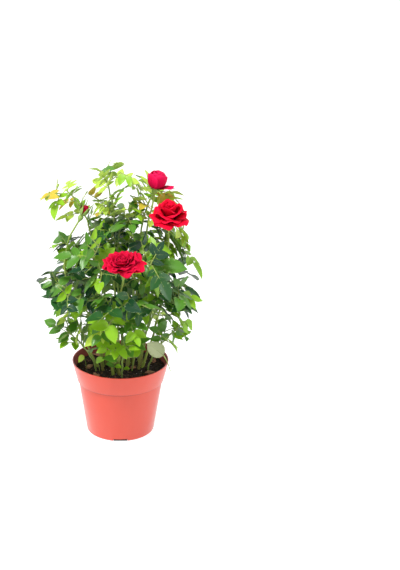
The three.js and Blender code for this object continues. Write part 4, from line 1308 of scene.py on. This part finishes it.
def curved_sheet(length, half, outline, base, middle, tip, start, wrap, side_roll=0.0, lap=0.0):
    """A sheet that sets out from the flower's axis, bends from base to tip and wraps round the axis. Its
    corners lie in rows from its base to its tip."""
    along, across = PETAL_ALONG, PETAL_ACROSS
    angle = (base + (middle - base) * eased(along, 0, 0.5) + (tip - middle) * eased(along, 0.5, 1)
             + side_roll * across**2 * eased(along, 0.35, 1))
    reach = length * (1 - SHORT_SIDES * across**2) / (PETAL_ROWS - 1)
    between = np.radians((angle[1:] + angle[:-1]) / 2)
    still = np.zeros((1, PETAL_COLUMNS))
    out = start + np.vstack((still, np.cumsum(np.sin(between) * reach, axis=0)))
    rise = np.vstack((still, np.cumsum(np.cos(between) * reach, axis=0)))
    middle_out = out[:, PETAL_COLUMNS // 2][:, None]
    radius = np.maximum(middle_out * wrap, LEAST_WRAP)
    around = across * half * outline(along) / radius
    out = out + lap * across * eased(along, 0, 0.4)
    x = out - radius + radius * np.cos(around)
    return np.stack((x, radius * np.sin(around), rise), axis=-1)


def petal_outline(along):
    """Half the width of a petal along its length: a narrow claw, broad above, round at the top."""
    top = np.clip((along - 0.7) / 0.3, 0, 1)
    return (0.24 + 0.76 * np.sin(np.pi / 2 * np.minimum(1, along / 0.7))) * np.sqrt(1 - 0.45 * top**2)


def spun(points, turn):
    """Points turned about the flower's axis."""
    cos, sin = math.cos(turn), math.sin(turn)
    x, y, z = points[..., 0], points[..., 1], points[..., 2]
    return np.stack((x * cos - y * sin, x * sin + y * cos, z), axis=-1)


def sheets_mesh(name, sheets, marks):
    """Curved sheets as one mesh. Each corner keeps its share along and across, and its sheet's mark."""
    count = PETAL_ROWS * PETAL_COLUMNS
    faces = []
    for i in range(len(sheets)):
        for row in range(PETAL_ROWS - 1):
            for column in range(PETAL_COLUMNS - 1):
                corner = i * count + row * PETAL_COLUMNS + column
                faces.append((corner, corner + 1, corner + PETAL_COLUMNS + 1, corner + PETAL_COLUMNS))
    mesh = new_mesh(name, np.concatenate([sheet.reshape(-1, 3) for sheet in sheets]) * MM, faces)
    along, across = np.broadcast_arrays(PETAL_ALONG, PETAL_ACROSS)
    values = {"along": np.tile(along.ravel(), len(sheets)), "across": np.tile(across.ravel(), len(sheets)),
              "stage": np.repeat(marks, count)}
    for label, marked in values.items():
        mesh.attributes.new(label, "FLOAT", "POINT").data.foreach_set("value", marked)
    return mesh


def thickened(piece, thickness):
    """Smooths a piece made of thin sheets and gives them their thickness."""
    smoother = piece.modifiers.new("smoother", "SUBSURF")
    smoother.levels = smoother.render_levels = 1
    wall = piece.modifiers.new("wall", "SOLIDIFY")
    wall.thickness, wall.offset = thickness, 0
    made_plain(piece)
    piece.data.shade_smooth()


def petal_velvet(name, deep, red, edge):
    """Velvet red with darker veins. The dark crimson in the heart and at each petal's foot is painted
    shade, and the paler, pinker edge a painted highlight.
    """
    finish, bench = new_finish(name)
    along, across, stage = (bench.node("ShaderNodeAttribute", output=2, attribute_name=label)
                            for label in ("along", "across", "stage"))
    lines = bench.node("ShaderNodeCombineXYZ", {"X": across * 14, "Y": along * 1.6, "Z": stage * 31})
    veins = bench.node("ShaderNodeTexNoise", {"Vector": lines, "Scale": 1.0, "Detail": 4.0})
    # Painted shade: darker towards the foot of each petal and on the petals nearest the heart.
    tone = bench.blend(along**1.5 * (0.6 + 0.4 * stage), deep, red)
    # A painted highlight: paler and pinker along each petal's edge and top.
    painted_rim_highlight = (along**9 + across * across * along * 0.35) * 0.6
    tone = bench.blend(painted_rim_highlight, tone, edge)
    surface(bench, {
        "Base Color": bench.blend((veins - 0.35) * 0.6, tone, deep), "Roughness": 0.55 + 0.25 * veins,
        "Specular IOR Level": 0.08,
        "Sheen Weight": 0.05, "Sheen Roughness": 0.4, "Sheen Tint": (1, 0.12, 0.2, 1),
        "Normal": bench.relief(veins, 0.00025, 0.6),
    })
    return finish


def placed_on(flower, points):
    """Points from the flower's own frame, its axis up and its hip's top at the origin, put on its cane."""
    turn = np.array(Vector(UP).rotation_difference(Vector(flower.axis)).to_matrix())
    return points @ turn.T + flower.hip_foot + flower.axis * HIP_HEIGHT


def petal_at(form, share, raised):
    """The petal at a stage from the heart, 0, to the rim, 1, raised by an angle from its usual way."""
    stages = form["stages"]
    keys = stages.get("keys", np.linspace(0, 1, len(stages["length"])))
    shape = {name: float(np.interp(share, keys, values))
             for name, values in stages.items() if name != "keys"}
    shape["base"] -= CUP_AT_BASE * raised
    shape["middle"] -= raised
    shape["tip"] -= raised
    return curved_sheet(outline=petal_outline, wrap=1 + RIM_WRAP * share**2, **shape)


for number, flower in enumerate(flowers):
    form = BLOOMS[flower.node]
    sheets, marks = [], []
    for i in range(form["petals"]):
        roll = Dice(PETAL_SERIES + 100 * number + i)
        share = (i / (form["petals"] - 1)) ** STAGE_SPREAD
        facing_cup = math.cos(PETAL_TURN * i + math.radians(form["twist"] - CUPPED_SIDE))
        sheet = petal_at(form, share, form.get("cup", 0) * share * max(0, facing_cup))
        ruffle = form["ruffle"] * (HEART_RUFFLE + share) * PETAL_ALONG**3
        sheet[..., 2] += ruffle * np.sin(roll.between(*WAVES_UP) * PETAL_ACROSS + roll.between(*WAVE_START))
        sheet[..., 0] += ruffle * np.cos(roll.between(*WAVES_OUT) * PETAL_ACROSS + roll.between(*WAVE_START))
        sheet *= roll.between(*PETAL_SIZES)
        uneven = roll.between(-1, 1) * form.get("jitter", USUAL_JITTER)
        turn = PETAL_TURN * i + math.radians(form["twist"] + uneven)
        sheets.append(placed_on(flower, spun(sheet, turn)))
        marks.append(share)
    petals = new_piece(f"{flower.node}_petals", sheets_mesh(flower.node, sheets, marks),
                       petal_velvet(f"{flower.node}_red_velvet", *REDS[flower.node]))
    thickened(petals, PETAL_THICKNESS)
    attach(petals, "root")
    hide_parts(flower.node)


# The calyx of each flower: a small green urn, the hip, at the end of the cane, and five slim sepals on its
# rim. They hang back under an open bloom, and on the bud they still clasp the petals and stand up past them.
HIP_PROFILE = [
    (0, -9), (1.25, -9), (1.7, -7.6), (2.7, -5.6), (3.3, -3.4), (3.1, -1.6), (2.3, -0.4), (2.5, 0.2),
    (0, 0.3),
]
HIP_SIDES, SEPAL_COUNT, SEPAL_THICKNESS, SEPAL_WRAP, SEPAL_SERIES = 20, 5, 0.4 * MM, 1.3, 8000
TIP_PLAY, MIDDLE_PLAY, TURN_PLAY, SEPAL_TWIST = (-26, 26), (-6, 6), (-8, 8), 0.3
SEPALS = {
    "bloom_front": {"length": 18, "half": 3.1, "base": 100, "middle": 146, "tip": 166, "start": 1.8},
    "bloom_right": {"length": 15, "half": 2.1, "base": 90, "middle": 120, "tip": 140, "start": 1.6},
    "bloom_top": {"length": 24, "half": 1.8, "base": 86, "middle": 90, "tip": 72, "start": 1.6},
    "bud": {"length": 23, "half": 2.3, "base": 52, "middle": -3, "tip": 52, "start": 1.6},
}


def sepal_outline(along):
    """Half the width of a sepal along its length: broad at its foot and drawn out to a thin leafy tip."""
    belly = 1.1 * np.sin(np.pi * np.minimum(1, along * 1.5)) * (along < 0.66)
    return (0.3 + belly + 0.12 * np.sin(np.pi * along)) * (1 - along) ** 0.55


sheets, marks, hips = [], [], []
for number, flower in enumerate(flowers):
    form = SEPALS[flower.node]
    for i in range(SEPAL_COUNT):
        roll = Dice(SEPAL_SERIES + 10 * number + i)
        tip, middle = form["tip"] + roll.between(*TIP_PLAY), form["middle"] + roll.between(*MIDDLE_PLAY)
        shape = dict(form, tip=tip, middle=middle)
        sheet = curved_sheet(outline=sepal_outline, wrap=SEPAL_WRAP, **shape)
        turn = 2 * math.pi * (i + 0.5) / SEPAL_COUNT + math.radians(roll.between(*TURN_PLAY))
        turn += SEPAL_TWIST * number
        sheets.append(placed_on(flower, spun(sheet, turn)))
        marks.append(number / len(flowers))
    hip = lathed(HIP_PROFILE, HIP_SIDES)
    for corner in hip.vertices:
        corner.co = Vector(placed_on(flower, np.array(corner.co))) * MM
    hips.append(hip)
calyx_green = speckled("calyx_green", (800, 3), ((0.13, 0.26, 0.04, 1), (0.36, 0.5, 0.12, 1)), (0.5, 0.2),
                       (0.0003,))
sepals = new_piece("sepals", sheets_mesh("sepals", sheets, marks), calyx_green)
thickened(sepals, SEPAL_THICKNESS)
hips = new_piece("hips", joined("hips", hips), calyx_green)
for piece in (sepals, hips):
    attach(piece, "root")


# The studio: a pale floor with a round wall far behind it, an even white sky, one broad soft light from
# above on the left and a weak one on either side, and a camera 1.7 m away that looks down on the pot at the
# photograph's angle.
CAMERA_DISTANCE, CAMERA_HEIGHT_ANGLE, PIXEL_SIZE = 1.7, math.radians(23.8), 1.2526 * MM
PICTURE_WIDTH, PICTURE_HEIGHT = 400, 570
RIM_MIDDLE_PIXEL = (120.6, 358.7)
SENSOR, SKY_LIGHT, FLOOR_LIGHT = 36, 0.37, 0.82
FLOOR_WIDTH, FLOOR_DEPTH = 16, 0.02
WALL_PROFILE, WALL_SIDES = [(7.8, 5.2), (7.8, 0), (7.9, 0), (7.9, 5.3)], 96

floor_finish, bench = new_finish("pale_floor")
surface(bench, {"Base Color": (0.4, 0.4, 0.4, 1), "Roughness": 0.6 + 0.1 * bench.grain(3, 2),
                "Emission Color": (1, 1, 1, 1), "Emission Strength": FLOOR_LIGHT})
floor_size = (FLOOR_WIDTH, FLOOR_WIDTH, FLOOR_DEPTH)
floor_mesh = box_mesh(floor_size, (0, 0, -FLOOR_DEPTH / 2), Matrix.Identity(4))
floor = new_piece("floor", floor_mesh, floor_finish)
backdrop = new_piece("backdrop", lathed(WALL_PROFILE, WALL_SIDES), floor_finish)

sky = bpy.data.worlds.new("studio")
sky.use_nodes = True
light_of_sky = sky.node_tree.nodes["Background"].inputs
light_of_sky["Color"].default_value = (1, 1, 1, 1)
light_of_sky["Strength"].default_value = SKY_LIGHT
bpy.context.scene.world = sky


def lamp(name, place, aim, size, power):
    light = bpy.data.lights.new(name, "AREA")
    light.shape, light.size, light.energy = "SQUARE", size, power
    holder = bpy.data.objects.new(name, light)
    holder.location = place
    holder.rotation_euler = (Vector(aim) - Vector(place)).to_track_quat("-Z", "Y").to_euler()
    bpy.context.scene.collection.objects.link(holder)


lamp("key_light", (-0.5, -0.65, 1.95), (0, 0, 0.2), 0.4, 43)
lamp("left_light", (-1.3, -0.1, 0.45), (0, 0, 0.12), 0.6, 2.5)
lamp("right_light", (1.3, -0.1, 0.55), (0, 0, 0.12), 0.6, 3.5)

aim = Vector((0, 0, POT_HEIGHT))
focal_pixels = CAMERA_DISTANCE / PIXEL_SIZE
lens = bpy.data.cameras.new("camera")
lens.sensor_width, lens.lens = SENSOR, focal_pixels * SENSOR / PICTURE_HEIGHT
camera = bpy.data.objects.new("camera", lens)
bpy.context.scene.collection.objects.link(camera)
rise = math.sin(CAMERA_HEIGHT_ANGLE)
place = aim + CAMERA_DISTANCE * Vector((0, -math.cos(CAMERA_HEIGHT_ANGLE), rise))
ahead = (aim - place).normalized()
right = Vector((1, 0, 0))
facing = Matrix((right, right.cross(ahead), -ahead)).transposed()
across, down = RIM_MIDDLE_PIXEL[0] - PICTURE_WIDTH / 2, RIM_MIDDLE_PIXEL[1] - PICTURE_HEIGHT / 2
off_centre = Vector((across, -down, -focal_pixels)).rotation_difference(Vector((0, 0, -1)))
camera.matrix_world = Matrix.Translation(place) @ (facing @ off_centre.to_matrix()).to_4x4()
bpy.context.scene.camera = camera
bpy.context.scene.view_settings.view_transform = "Standard"
